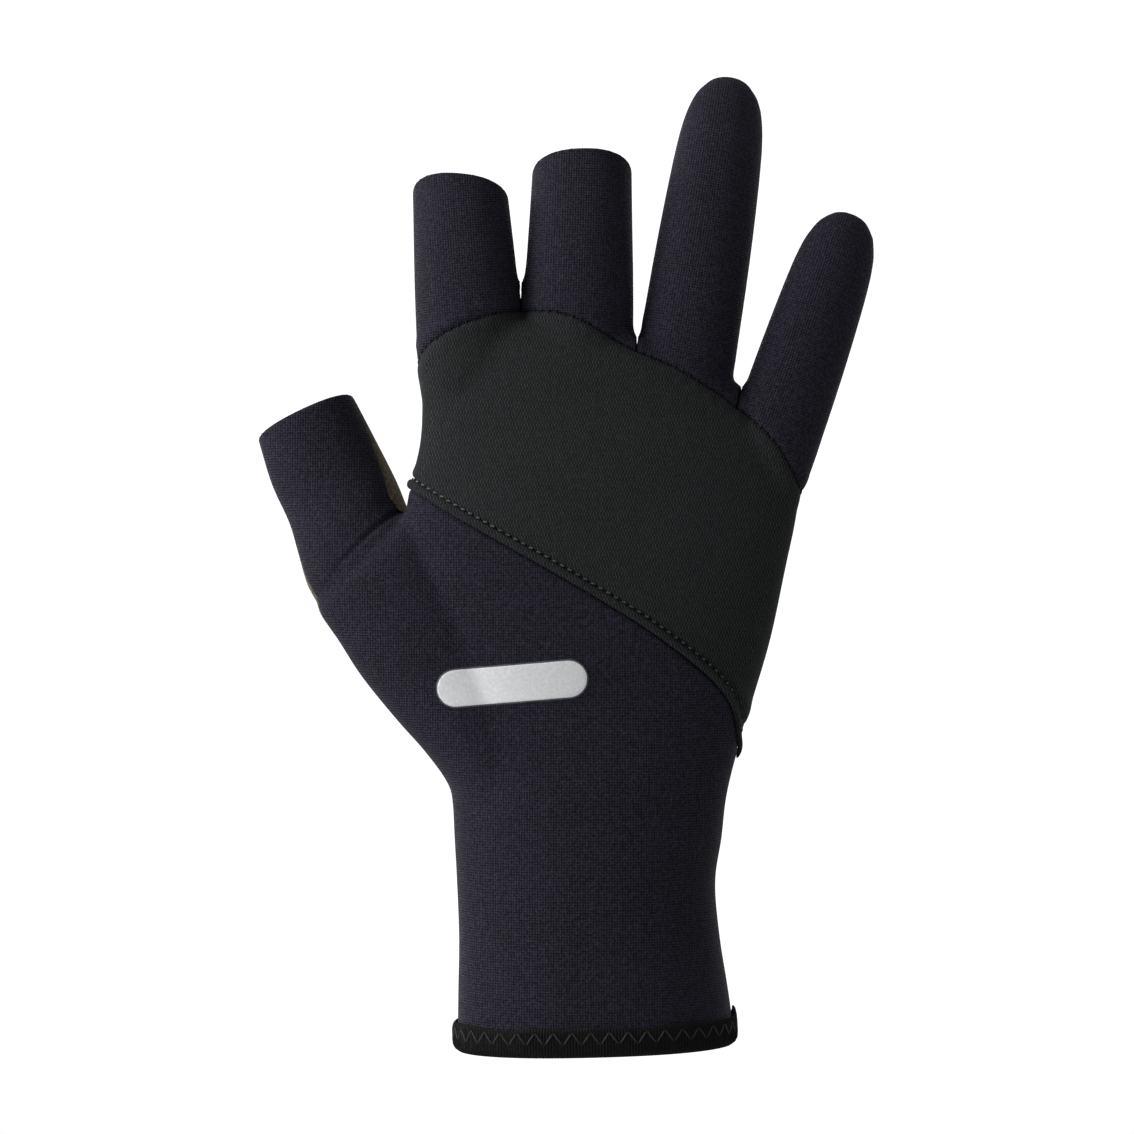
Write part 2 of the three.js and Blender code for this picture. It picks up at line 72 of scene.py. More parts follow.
# How fine the pieces are: sides of the tubes, steps along them, and how near two points are merged
HAND_SIDES = 72
DIGIT_SIDES = 40
BAND_SIDES = 16
THREAD_SIDES = 8
THREAD_RINGS = 6
BAR_END_POINTS = 17
CURL_POINTS = 40
RING_STEP = 3
SEAM_STEP = 0.6
FINE_STEP = 0.1
EDGE_STEP = 0.25
VOXEL = 0.95
MERGE = 0.22
LAYER_MERGE = 0.04
TOUCHING = 0.01
SHARPEST_EDGE = 50

# How far the cutting shapes reach, the digits go on past their rims, and a cut at a rim reaches
BEYOND = 200
PAST_RIM = 4
RIM_REACH = 16

# How near a point counts as on a rim, or on a seam
ON_RIM = 0.4
ON_SEAM = 0.45

# Sections in shares: heights of the two ends, their places, thickness, and how far back the middle lies
Section = namedtuple("Section", "left_up right_up left right deep back")
CUFF_SECTIONS = [
    Section(-0.12, -0.06, -0.538, 0.531, 1.1, 0),
    Section(0.07, 0.11, -0.532, 0.522, 1.09, 0),
    Section(0.22, 0.25, -0.53, 0.504, 1.06, 0),
    Section(0.43, 0.44, -0.527, 0.476, 1.03, 0.01),
    Section(0.65, 0.66, -0.535, 0.459, 1, 0.02),
    Section(0.84, 0.84, -0.545, 0.484, 0.97, 0.03),
]
PALM_SECTIONS = [
    Section(0.01, 0.01, -0.373, 0.338, 1.17, 0.05),
    Section(0.1, 0.11, -0.4, 0.37, 1.14, 0.07),
    Section(0.21, 0.21, -0.445, 0.408, 1.11, 0.08),
    Section(0.35, 0.33, -0.487, 0.452, 1.05, 0.07),
    Section(0.49, 0.47, -0.505, 0.489, 0.96, 0.05),
    Section(0.615, 0.585, -0.486, 0.518, 0.86, 0.02),
    Section(0.735, 0.67, -0.453, 0.522, 0.78, 0),
    Section(0.83, 0.735, -0.448, 0.496, 0.72, 0),
    Section(0.91, 0.8, -0.43, 0.436, 0.67, 0),
    Section(0.955, 0.86, -0.376, 0.344, 0.61, 0),
    Section(0.975, 0.91, -0.27, 0.22, 0.5, 0),
]
THUMB_BALL_SECTIONS = [
    Section(-0.06, -0.05, -0.35, -0.1, 0.9, 0.06),
    Section(0.02, 0.06, -0.376, -0.08, 0.98, 0.08),
    Section(0.09, 0.18, -0.436, -0.1, 1, 0.1),
    Section(0.165, 0.3, -0.52, -0.16, 0.98, 0.12),
    Section(0.25, 0.42, -0.607, -0.25, 0.92, 0.13),
    Section(0.325, 0.52, -0.668, -0.35, 0.82, 0.14),
    Section(0.39, 0.585, -0.722, -0.42, 0.74, 0.18),
    Section(0.432, 0.6, -0.71, -0.46, 0.5, 0.2),
]
THUMB_SECTIONS = [
    Section(0.33, 0.45, -0.62, -0.4, 0.8, 0.17),
    Section(0.41, 0.535, -0.731, -0.446, 0.99, 0.21),
    Section(0.491, 0.589, -0.77, -0.485, 0.98, 0.27),
    Section(0.567, 0.648, -0.8, -0.516, 0.94, 0.34),
    Section(0.644, 0.728, -0.846, -0.567, 0.9, 0.4),
    Section(0.738, 0.832, -0.883, -0.636, 0.86, 0.46),
]
# Fingers: shares of their length and width, and of that width for their thickness and turned end
Stage = namedtuple("Stage", "along wide deep rim")
CUT_FINGER = [
    Stage(0, 0.92, 0.7, 0),
    Stage(0.2, 1.05, 0.84, 0),
    Stage(0.38, 1.05, 0.9, 0),
    Stage(0.6, 1.025, 0.92, 0),
    Stage(0.8, 0.99, 0.91, 0.3),
    Stage(1, 0.96, 0.9, 1),
]
CLOSED_FINGER = [
    Stage(0, 0.88, 0.66, 0),
    Stage(0.17, 1.02, 0.84, 0),
    Stage(0.33, 1.02, 0.9, 0),
    Stage(0.52, 1, 0.92, 0),
    Stage(0.7, 0.955, 0.92, 0),
    Stage(0.82, 0.9, 0.92, 0),
    Stage(0.89, 0.82, 0.92, 0),
    Stage(0.94, 0.69, 0.92, 0),
    Stage(0.975, 0.49, 0.92, 0),
    Stage(0.995, 0.22, 0.92, 0),
]
Finger = namedtuple("Finger", "name across up lean end length width stages is_open")
FINGERS = [
    Finger("index", -0.309, 0.757, -4.2, 10, 60.5, 25.6, CUT_FINGER, True),
    Finger("middle", -0.053, 0.757, 1.5, -3, 66.5, 26.6, CUT_FINGER, True),
    Finger("ring", 0.193, 0.716, 9.6, 0, 98, 24.2, CLOSED_FINGER, False),
    Finger("little", 0.386, 0.573, 19.5, 0, 82, 22.2, CLOSED_FINGER, False),
]

# Seams on the back of the hand, in the palm's shares
KNUCKLE_SEAM = [
    (-0.62, 0.82), (-0.48, 0.877), (-0.435, 0.928), (-0.32, 0.978), (-0.19, 1), (-0.06, 0.986), (0.08, 0.924),
    (0.21, 0.878), (0.34, 0.812), (0.45, 0.734), (0.515, 0.65), (0.6, 0.52),
]
DIAGONAL_SEAM = [
    (-0.485, 0.638), (-0.387, 0.589), (-0.253, 0.528), (-0.124, 0.47), (0.026, 0.4), (0.139, 0.343),
    (0.258, 0.271), (0.326, 0.216), (0.352, 0.168), (0.362, 0.12), (0.385, 0.07), (0.46, 0.02),
]
THUMB_DIVIDE = [(-0.2, -0.05), (-0.42, 0.45), (-0.497, 0.618), (-0.53, 0.8), (-0.62, 1.3)]
PALM_WRIST_SEAM = [(-0.9, 0.17), (-0.45, 0.07), (0, 0.05), (0.33, 0.09), (0.8, 0.2)]
THUMB_CREASE = [(-0.48, 0.607), (-0.559, 0.562), (-0.647, 0.492), (-0.7, 0.437)]
Web = namedtuple("Web", "across up lean")
WEBS = [Web(-0.193, 1.014, -1.3), Web(0.106, 0.94, 4.5), Web(0.366, 0.815, 12.5)]
WEB_REACH = (-0.5, 1)
PATCH_PLACE = (-0.214, 0.24)
PALM_SEAM_SHARE = 0.1
THUMB_SEAM_TURN = 38
THUMB_SEAM_BACK = 25


def palm_x(share):
    return share * PALM_WIDTH


def palm_z(share):
    return CUFF_LENGTH + share * PALM_LENGTH


def curl(z):
    """How far back the fingers' line lies at a height, and how steeply it runs back."""
    past = max(0, z - palm_z(CURL_START))
    return past * past / (2 * CURL_RADIUS), math.atan(past / CURL_RADIUS)


# A ring of the skin: its two ends in the XZ plane, its thickness, how far back it lies and its slope
Ring = namedtuple("Ring", "left_x left_z right_x right_z depth y slope")


def hand_ring(section, height, width, depth, base):
    left_z = base + section.left_up * height
    right_z = base + section.right_up * height
    y, slope = curl((left_z + right_z) / 2)
    return Ring(section.left * width, left_z, section.right * width, right_z,
                section.deep * depth, y + section.back * depth, slope)


def palm_ring(section):
    return hand_ring(section, PALM_LENGTH, PALM_WIDTH, PALM_DEPTH, CUFF_LENGTH)


def thumb_ring(section):
    return Ring(palm_x(section.left), palm_z(section.left_up), palm_x(section.right), palm_z(section.right_up),
                section.deep * THUMB_DEPTH, section.back * PALM_DEPTH, math.radians(THUMB_TURN_BACK))


def finger_ring(finger, stage):
    lean = math.radians(finger.lean)
    square = math.radians(finger.lean + stage.rim * finger.end)
    run, half = stage.along * finger.length, stage.wide * finger.width / 2
    x, z = palm_x(finger.across) + run * math.sin(lean), palm_z(finger.up) + run * math.cos(lean)
    y, slope = curl(z)
    side_x, side_z = half * math.cos(square), -half * math.sin(square)
    return Ring(x - side_x, z - side_z, x + side_x, z + side_z, 2 * half * stage.deep, y, slope)


HAND = ([hand_ring(s, CUFF_LENGTH, WRIST_WIDTH, WRIST_DEPTH, 0) for s in CUFF_SECTIONS]
        + [palm_ring(s) for s in PALM_SECTIONS])
THUMB_BALL = [palm_ring(s) for s in THUMB_BALL_SECTIONS]
THUMB = [thumb_ring(s) for s in THUMB_SECTIONS]
DIGITS = {f.name: [finger_ring(f, s) for s in f.stages] for f in FINGERS}


def ring_frame(ring):
    """Middle, half width, half depth and the way on, as arrays."""
    left = np.array([ring.left_x, 0, ring.left_z])
    right = np.array([ring.right_x, 0, ring.right_z])
    wide = (right - left) / 2
    upward = np.array([-wide[2], 0, wide[0]]) / np.linalg.norm(wide)
    deep = np.array([0, math.cos(ring.slope), 0]) - upward * math.sin(ring.slope)
    ahead = np.array([0, math.sin(ring.slope), 0]) + upward * math.cos(ring.slope)
    middle = (left + right) / 2 + np.array([0, ring.y, 0])
    return middle, wide, deep * ring.depth / 2, ahead


def ring_points(ring, sides, offset=0):
    """The ring's points: a little squarer than an ellipse, and grown by offset."""
    middle, wide, deep, _ = ring_frame(ring)
    wide = wide * (1 + offset / np.linalg.norm(wide))
    deep = deep * (1 + offset / np.linalg.norm(deep))
    turns = np.arange(sides) * 2 * math.pi / sides
    bow_x = np.sign(np.cos(turns)) * np.abs(np.cos(turns)) ** (2 / SQUARENESS)
    bow_y = np.sign(np.sin(turns)) * np.abs(np.sin(turns)) ** (2 / SQUARENESS)
    return middle + bow_x[:, None] * wide + bow_y[:, None] * deep


def smooth_through(rows, step):
    """More rows on a smooth curve through the given ones, about step apart."""
    rows = np.array(rows, float)
    padded = np.vstack([2 * rows[0] - rows[1], rows, 2 * rows[-1] - rows[-2]])
    made = []
    for i in range(len(rows) - 1):
        before, start, end, after = padded[i:i + 4]
        count = max(1, round(np.abs(end - start).max() / step))
        for t in np.arange(count) / count:
            made.append(0.5 * (2 * start + (end - before) * t
                               + (2 * before - 5 * start + 4 * end - after) * t ** 2
                               + (3 * start - before - 3 * end + after) * t ** 3))
    return np.array(made + [rows[-1]])


def past_the_rim(rings):
    """The rings and one more beyond the last, so that a cut there leaves a clean rim."""
    last, before = np.array(rings[-1]), np.array(rings[-2])
    way = np.array([last[0] - before[0], last[1] - before[1], last[2] - before[2], last[3] - before[3]])
    further = last.copy()
    further[:4] += way * PAST_RIM / np.linalg.norm(way[:2])
    further[5] += PAST_RIM * math.tan(last[6])
    return list(rings) + [Ring(*further)]


# Modelling with Blender's own tools

def nothing_selected():
    if bpy.context.object and bpy.context.object.mode != "OBJECT":
        bpy.ops.object.mode_set(mode="OBJECT")
    bpy.ops.object.select_all(action="DESELECT")


def choose(piece):
    nothing_selected()
    piece.select_set(True)
    bpy.context.view_layer.objects.active = piece


def apply_modifier(piece, kind, **settings):
    choose(piece)
    modifier = piece.modifiers.new(kind.lower(), kind)
    for name, value in settings.items():
        setattr(modifier, name, value)
    bpy.ops.object.modifier_apply(modifier=modifier.name)


def lookup(points):
    """A tree that finds which of the points is nearest to a place."""
    tree = KDTree(len(points))
    for i, point in enumerate(points):
        tree.insert(point, i)
    tree.balance()
    return tree


def edit_faces(piece, chosen):
    """Opens the piece in edit mode with only the chosen faces selected."""
    choose(piece)
    bpy.ops.object.mode_set(mode="EDIT")
    bpy.ops.mesh.select_mode(type="FACE")
    bpy.ops.mesh.select_all(action="DESELECT")
    mesh = bmesh.from_edit_mesh(piece.data)
    for face in mesh.faces:
        face.select = chosen(face)
    bmesh.update_edit_mesh(piece.data)


def select_all_points():
    bpy.ops.mesh.select_mode(type="VERT")
    bpy.ops.mesh.select_all(action="SELECT")


def place_ring(mesh, before, after):
    """Moves the selected ring from its old points, in millimetres, to its new ones."""
    tree = lookup([Vector(point) * MM for point in before])
    for vertex in [v for v in mesh.verts if v.select]:
        vertex.co = Vector(after[tree.find(vertex.co)[1]]) * MM


def tube(name, rings):
    """A closed tube: a filled circle, extruded on from ring to ring."""
    nothing_selected()
    sides = len(rings[0])
    bpy.ops.mesh.primitive_circle_add(vertices=sides, radius=1, fill_type="NGON")
    piece = bpy.context.object
    piece.name = name
    bpy.ops.object.mode_set(mode="EDIT")
    mesh = bmesh.from_edit_mesh(piece.data)
    for vertex, point in zip(list(mesh.verts), rings[0]):
        vertex.co = Vector(point) * MM
    for before, after in zip(rings, rings[1:]):
        bpy.ops.mesh.extrude_region_move()
        mesh = bmesh.from_edit_mesh(piece.data)
        place_ring(mesh, before, after)
    bpy.ops.mesh.select_all(action="SELECT")
    bpy.ops.mesh.normals_make_consistent(inside=False)
    bpy.ops.object.mode_set(mode="OBJECT")
    return piece


def lofted(name, rings, sides, is_open=False):
    rings = past_the_rim(rings) if is_open else rings
    rows = smooth_through(rings, RING_STEP)
    return tube(name, [ring_points(Ring(*row), sides) for row in rows])


def joined(name, pieces):
    choose(pieces[0])
    for piece in pieces:
        piece.select_set(True)
    bpy.ops.object.join()
    pieces[0].name = name
    return pieces[0]


def copy_of(piece, name):
    choose(piece)
    bpy.ops.object.duplicate()
    bpy.context.object.name = name
    return bpy.context.object


def vertices_of(piece):
    found = np.empty(len(piece.data.vertices) * 3)
    piece.data.vertices.foreach_get("co", found)
    return found.reshape(-1, 3) / MM


def normals_of(piece):
    found = np.empty(len(piece.data.vertices) * 3)
    piece.data.vertex_normals.foreach_get("vector", found)
    return found.reshape(-1, 3)


def move_vertices(piece, points):
    piece.data.vertices.foreach_set("co", (points * MM).ravel())
    piece.data.update()


# Cutting shapes, whose faces carry a material of their own so that they can be taken out again
cut_mark = bpy.data.materials.new("cut_mark")


def cutter(name, rings):
    piece = tube(name, rings)
    piece.data.materials.append(cut_mark)
    return piece


def across_glove(name, outline):
    """A prism through the glove from front to back, over an outline in the XZ plane."""
    rings = [[(x, y, z) for x, z in outline] for y in (-BEYOND, BEYOND)]
    return cutter(name, rings)


def seam_line(shares, aside=0, step=2):
    """A seam's points in the XZ plane, smoothed, and moved to the left of its way by aside."""
    line = smooth_through([(palm_x(x), palm_z(z)) for x, z in shares], step)
    way = np.gradient(line, axis=0)
    way /= np.linalg.norm(way, axis=1)[:, None]
    return line + aside * np.stack([-way[:, 1], way[:, 0]], 1)


def above(name, line):
    first, last = line[0], line[-1]
    return across_glove(name, [(-BEYOND, first[1]), *line, (BEYOND, last[1]), (BEYOND, 2 * BEYOND),
                               (-BEYOND, 2 * BEYOND)])


def right_of(name, line):
    first, last = line[0], line[-1]
    return across_glove(name, [(BEYOND, -BEYOND), (BEYOND, 2 * BEYOND), (last[0], 2 * BEYOND),
                               *line[::-1], (first[0], -BEYOND)])


def web_line(web, aside):
    lean = math.radians(web.lean)
    return np.array([
        (palm_x(web.across) + aside + t * PALM_LENGTH * math.sin(lean),
         palm_z(web.up) + t * PALM_LENGTH * math.cos(lean)) for t in WEB_REACH])


def boolean(piece, other, operation):
    apply_modifier(piece, "BOOLEAN", object=other, operation=operation, solver="MANIFOLD",
                   material_mode="TRANSFER")
    return piece


def keep(piece, other):
    return boolean(piece, other, "INTERSECT")


def cut(piece, other):
    return boolean(piece, other, "DIFFERENCE")


def remove(*pieces):
    for piece in pieces:
        bpy.data.objects.remove(piece)


def behind_side_seams():
    """All that lies behind the side seams of the hand and the fingers, which follow the fingers' bend."""
    heights = np.linspace(palm_z(CURL_START), palm_z(2), CURL_POINTS)
    line = [(curl(z)[0] + PALM_SEAM_SHARE * PALM_DEPTH, z) for z in heights]
    outline = [(line[0][0], -BEYOND), (BEYOND, -BEYOND), (BEYOND, heights[-1]), *line[::-1]]
    return cutter("behind_side_seams", [[(x, y, z) for y, z in outline] for x in (-BEYOND, BEYOND)])


def behind_thumb_seams():
    """All that lies behind a plane through the thumb's two seams."""
    root, end = ring_frame(THUMB[2]), ring_frame(THUMB[-1])

    def on_ring(section, turn):
        return (section[0] + section[1] * np.sign(math.cos(turn)) * abs(math.cos(turn)) ** (2 / SQUARENESS)
                + section[2] * np.sign(math.sin(turn)) * abs(math.sin(turn)) ** (2 / SQUARENESS))

    inner = on_ring(end, 0)
    inner_root = on_ring(root, -math.radians(THUMB_SEAM_TURN))
    outer = on_ring(end, math.pi - math.radians(THUMB_SEAM_BACK))
    normal = np.cross(inner_root - inner, outer - inner)
    normal *= np.sign(normal[1]) / np.linalg.norm(normal)
    first = np.cross(normal, [0, 0, 1])
    first /= np.linalg.norm(first)
    second = np.cross(normal, first)
    square = [(1, 1), (-1, 1), (-1, -1), (1, -1)]
    corners = np.array([inner + BEYOND * (a * first + b * second) for a, b in square])
    return cutter("behind_thumb_seams", [corners, corners + BEYOND * normal])


def palm_side():
    sides = behind_side_seams()
    divide = right_of("divide", seam_line(THUMB_DIVIDE))
    hand = keep(copy_of(sides, "palm_side"), divide)
    thumb = cut(keep(sides, behind_thumb_seams()), divide)
    both = boolean(hand, thumb, "UNION")
    remove(thumb, divide, bpy.data.objects["behind_thumb_seams"])
    return both


def whole_skin():
    """The glove's outer face as one closed form, with the webs and the thumb's root run together."""
    tubes = [
        lofted("hand", HAND, HAND_SIDES),
        lofted("thumb_ball", THUMB_BALL, DIGIT_SIDES),
        lofted("thumb", THUMB, DIGIT_SIDES, is_open=True),
    ]
    tubes += [lofted(f.name, DIGITS[f.name], DIGIT_SIDES, f.is_open) for f in FINGERS]
    skin = joined("skin", tubes)
    apply_modifier(skin, "REMESH", mode="VOXEL", voxel_size=VOXEL * MM)
    apply_modifier(skin, "SMOOTH", factor=0.5, iterations=8)
    return skin


def near_line(points, line):
    """Distance of points in the XZ plane from a line, positive to its left, and the way along it."""
    flat = points[:, [0, 2]]
    best = np.full(len(flat), np.inf)
    side = np.zeros(len(flat))
    along = np.zeros(len(flat))
    run = 0
    for start, end in zip(line, line[1:]):
        way = end - start
        length = np.linalg.norm(way)
        way = way / length
        offset = flat - start
        t = np.clip(offset @ way, 0, length)
        gap = offset - t[:, None] * way
        distance = np.linalg.norm(gap, axis=1)
        closer = distance < best
        best[closer] = distance[closer]
        side[closer] = np.sign(way[0] * offset[closer, 1] - way[1] * offset[closer, 0])
        along[closer] = run + t[closer]
        run += length
    return best * side, along


def open_sheet(piece, merge=MERGE):
    """Takes out the faces that the cutting shapes left, so that only cloth remains."""
    marked = {i for i, m in enumerate(piece.data.materials) if m == cut_mark}
    edit_faces(piece, lambda face: face.material_index in marked)
    bpy.ops.mesh.delete(type="FACE")
    select_all_points()
    bpy.ops.mesh.remove_doubles(threshold=merge * MM)
    bpy.ops.mesh.dissolve_degenerate(threshold=merge * MM / 4)
    bpy.ops.object.mode_set(mode="OBJECT")
    piece.data.materials.clear()
    return piece


def trim(piece, at, normal, near=None):
    """Cuts a sheet off along a plane, beyond which nothing is left near the given point."""
    reach = near if near else 2 * BEYOND
    edit_faces(piece, lambda face: (face.calc_center_median() - Vector(at) * MM).length < reach * MM)
    bpy.ops.mesh.bisect(plane_co=Vector(at) * MM, plane_no=normal, clear_outer=True,
                        threshold=TOUCHING * MM)
    bpy.ops.object.mode_set(mode="OBJECT")


def hem_plane(up):
    slope = math.radians(HEM_SLOPE)
    return (0, 0, up), (math.sin(slope), 0, -math.cos(slope))


NEAR_POINTS = 4
NORMAL_SPREAD = 0.3


def surface_of(piece):
    """A lookup of the skin's smooth normals at any places."""
    own = normals_of(piece)
    tree = lookup(vertices_of(piece))

    def normals_at(places):
        near = [tree.find_n(place, NEAR_POINTS) for place in places]
        index = np.array([[n[1] for n in row] for row in near])
        weight = 1 / (np.array([[n[2] for n in row] for row in near]) + NORMAL_SPREAD)
        found = (own[index] * weight[:, :, None]).sum(1)
        return found / np.linalg.norm(found, axis=1)[:, None]

    return normals_at


def edge_samples(piece):
    """Points close together along the sheet's open edges."""
    mesh = bmesh.new()
    mesh.from_mesh(piece.data)
    points = []
    for edge in mesh.edges:
        if edge.is_boundary:
            start, end = edge.verts[0].co / MM, edge.verts[1].co / MM
            count = max(1, math.ceil((end - start).length / EDGE_STEP))
            points += [start.lerp(end, i / count) for i in range(count)]
    mesh.free()
    return points


def distance_to(points, samples):
    tree = lookup(samples)
    return np.array([tree.find(p)[2] for p in points])


def refine(piece, reach, fine=None):
    """Finer faces within reach of the sheet's open edges, and wherever fine says so."""
    samples = edge_samples(piece)
    centres = np.array([f.center for f in piece.data.polygons]) / MM
    near = distance_to(centres, samples) < reach
    if fine is not None:
        near |= fine(centres)
    choose(piece)
    bpy.ops.object.mode_set(mode="EDIT")
    bpy.ops.mesh.select_mode(type="FACE")
    bpy.ops.mesh.select_all(action="DESELECT")
    bpy.ops.object.mode_set(mode="OBJECT")
    piece.data.polygons.foreach_set("select", near)
    bpy.ops.object.mode_set(mode="EDIT")
    bpy.ops.mesh.subdivide(number_cuts=2, smoothness=0)
    bpy.ops.object.mode_set(mode="OBJECT")


# The rounding of the cloth's edges: how far from the edge it starts and how deep it goes
Roll = namedtuple("Roll", "reach depth")
SEAM_ROLL = Roll(1.3, 0.8)
RIM_ROLL = Roll(0.8, 0.45)
LAYER_ROLL = Roll(0.35, 0.15)
STEEPEST = 0.98


def rolled(distance, roll):
    """How far an edge that is rolled in lies below the cloth, at a distance from it."""
    t = np.clip(1 - distance / roll.reach, 0, 1)
    return roll.depth * (1 - np.sqrt(1 - STEEPEST * t ** 2))


def near_rim(points, rims):
    """Which points lie on the rim of an open digit, or on the hem."""
    found = np.zeros(len(points), bool)
    for at, normal, reach in rims:
        away = np.array(points) - np.array(at)
        found |= (np.abs(away @ np.array(normal)) < ON_RIM) & (np.linalg.norm(away, axis=1) < reach)
    return found


def cloth(piece, looks, rims=(), relief=None, thickness=WALL, roll=SEAM_ROLL, fine=None, reach=2):
    """Rolls the sheet's edges in, adds its relief and gives it its thickness, inwards."""
    refine(piece, reach, fine)
    points = vertices_of(piece)
    normals = skin_normals(points)
    samples = edge_samples(piece)
    on_rim = near_rim(samples, rims)
    seams = [p for p, rim in zip(samples, on_rim) if not rim]
    edges = [p for p, rim in zip(samples, on_rim) if rim]
    height = -rolled(distance_to(points, seams), roll)
    if edges:
        height = np.minimum(height, -rolled(distance_to(points, edges), RIM_ROLL))
    if relief is not None:
        height = height + relief(points, normals)
    points = points + height[:, None] * normals
    move_vertices(piece, points)
    for look in looks:
        piece.data.materials.append(look)
    choose(piece)
    bpy.ops.object.mode_set(mode="EDIT")
    select_all_points()
    bpy.ops.mesh.extrude_region_move()
    mesh = bmesh.from_edit_mesh(piece.data)
    inner = [v for v in mesh.verts if v.select]
    places = np.array([v.co for v in inner]) / MM
    inward = places - thickness * skin_normals(places)
    for vertex, place in zip(inner, inward):
        vertex.co = Vector(place) * MM
    for face in mesh.faces:
        face.material_index = 1 if any(v.select for v in face.verts) else 0
    bmesh.update_edit_mesh(piece.data)
    bpy.ops.mesh.select_all(action="SELECT")
    bpy.ops.mesh.normals_make_consistent(inside=False)
    bpy.ops.object.mode_set(mode="OBJECT")
    bpy.ops.object.shade_smooth_by_angle(angle=math.radians(SHARPEST_EDGE))
    return piece


def hand_in(piece, slot, *nodes):
    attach(piece, "root")
    if nodes:
        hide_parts(*nodes)


# Materials

def linear(code):
    channels = [int(code[i:i + 2], 16) / 255 for i in (1, 3, 5)]
    return (*[c / 12.92 if c <= 0.04045 else ((c + 0.055) / 1.055) ** 2.4 for c in channels], 1)


def node(tree, kind, inputs=(), **settings):
    """Adds a node. An input is a value, another node's output, or a node, which gives its first output."""
    made = tree.nodes.new(kind)
    for name, value in settings.items():
        setattr(made, name, value)
    for socket, value in inputs:
        if isinstance(value, bpy.types.Node):
            value = value.outputs[0]
        if isinstance(value, bpy.types.NodeSocket):
            tree.links.new(value, made.inputs[socket])
        else:
            made.inputs[socket].default_value = value
    return made


# Fibres and uneven dye, as noise cells a metre, and how much of each shows
FIBRE_SCALE = 1500
FIBRE_DETAIL = 3
FIBRE_RANGE = (0.4, 0.75)
FIBRE_RISE = 0.6
DYE_SCALE = 45
DYE_STRENGTH = 0.12
# How narrowly the painted highlight gathers on the loops' tops
LOOP_SHARPNESS = 2.4
BUMP_STRENGTH = 0.9
CLOTH_SPECULAR = 0.25
SHEEN_ROUGHNESS = 0.5


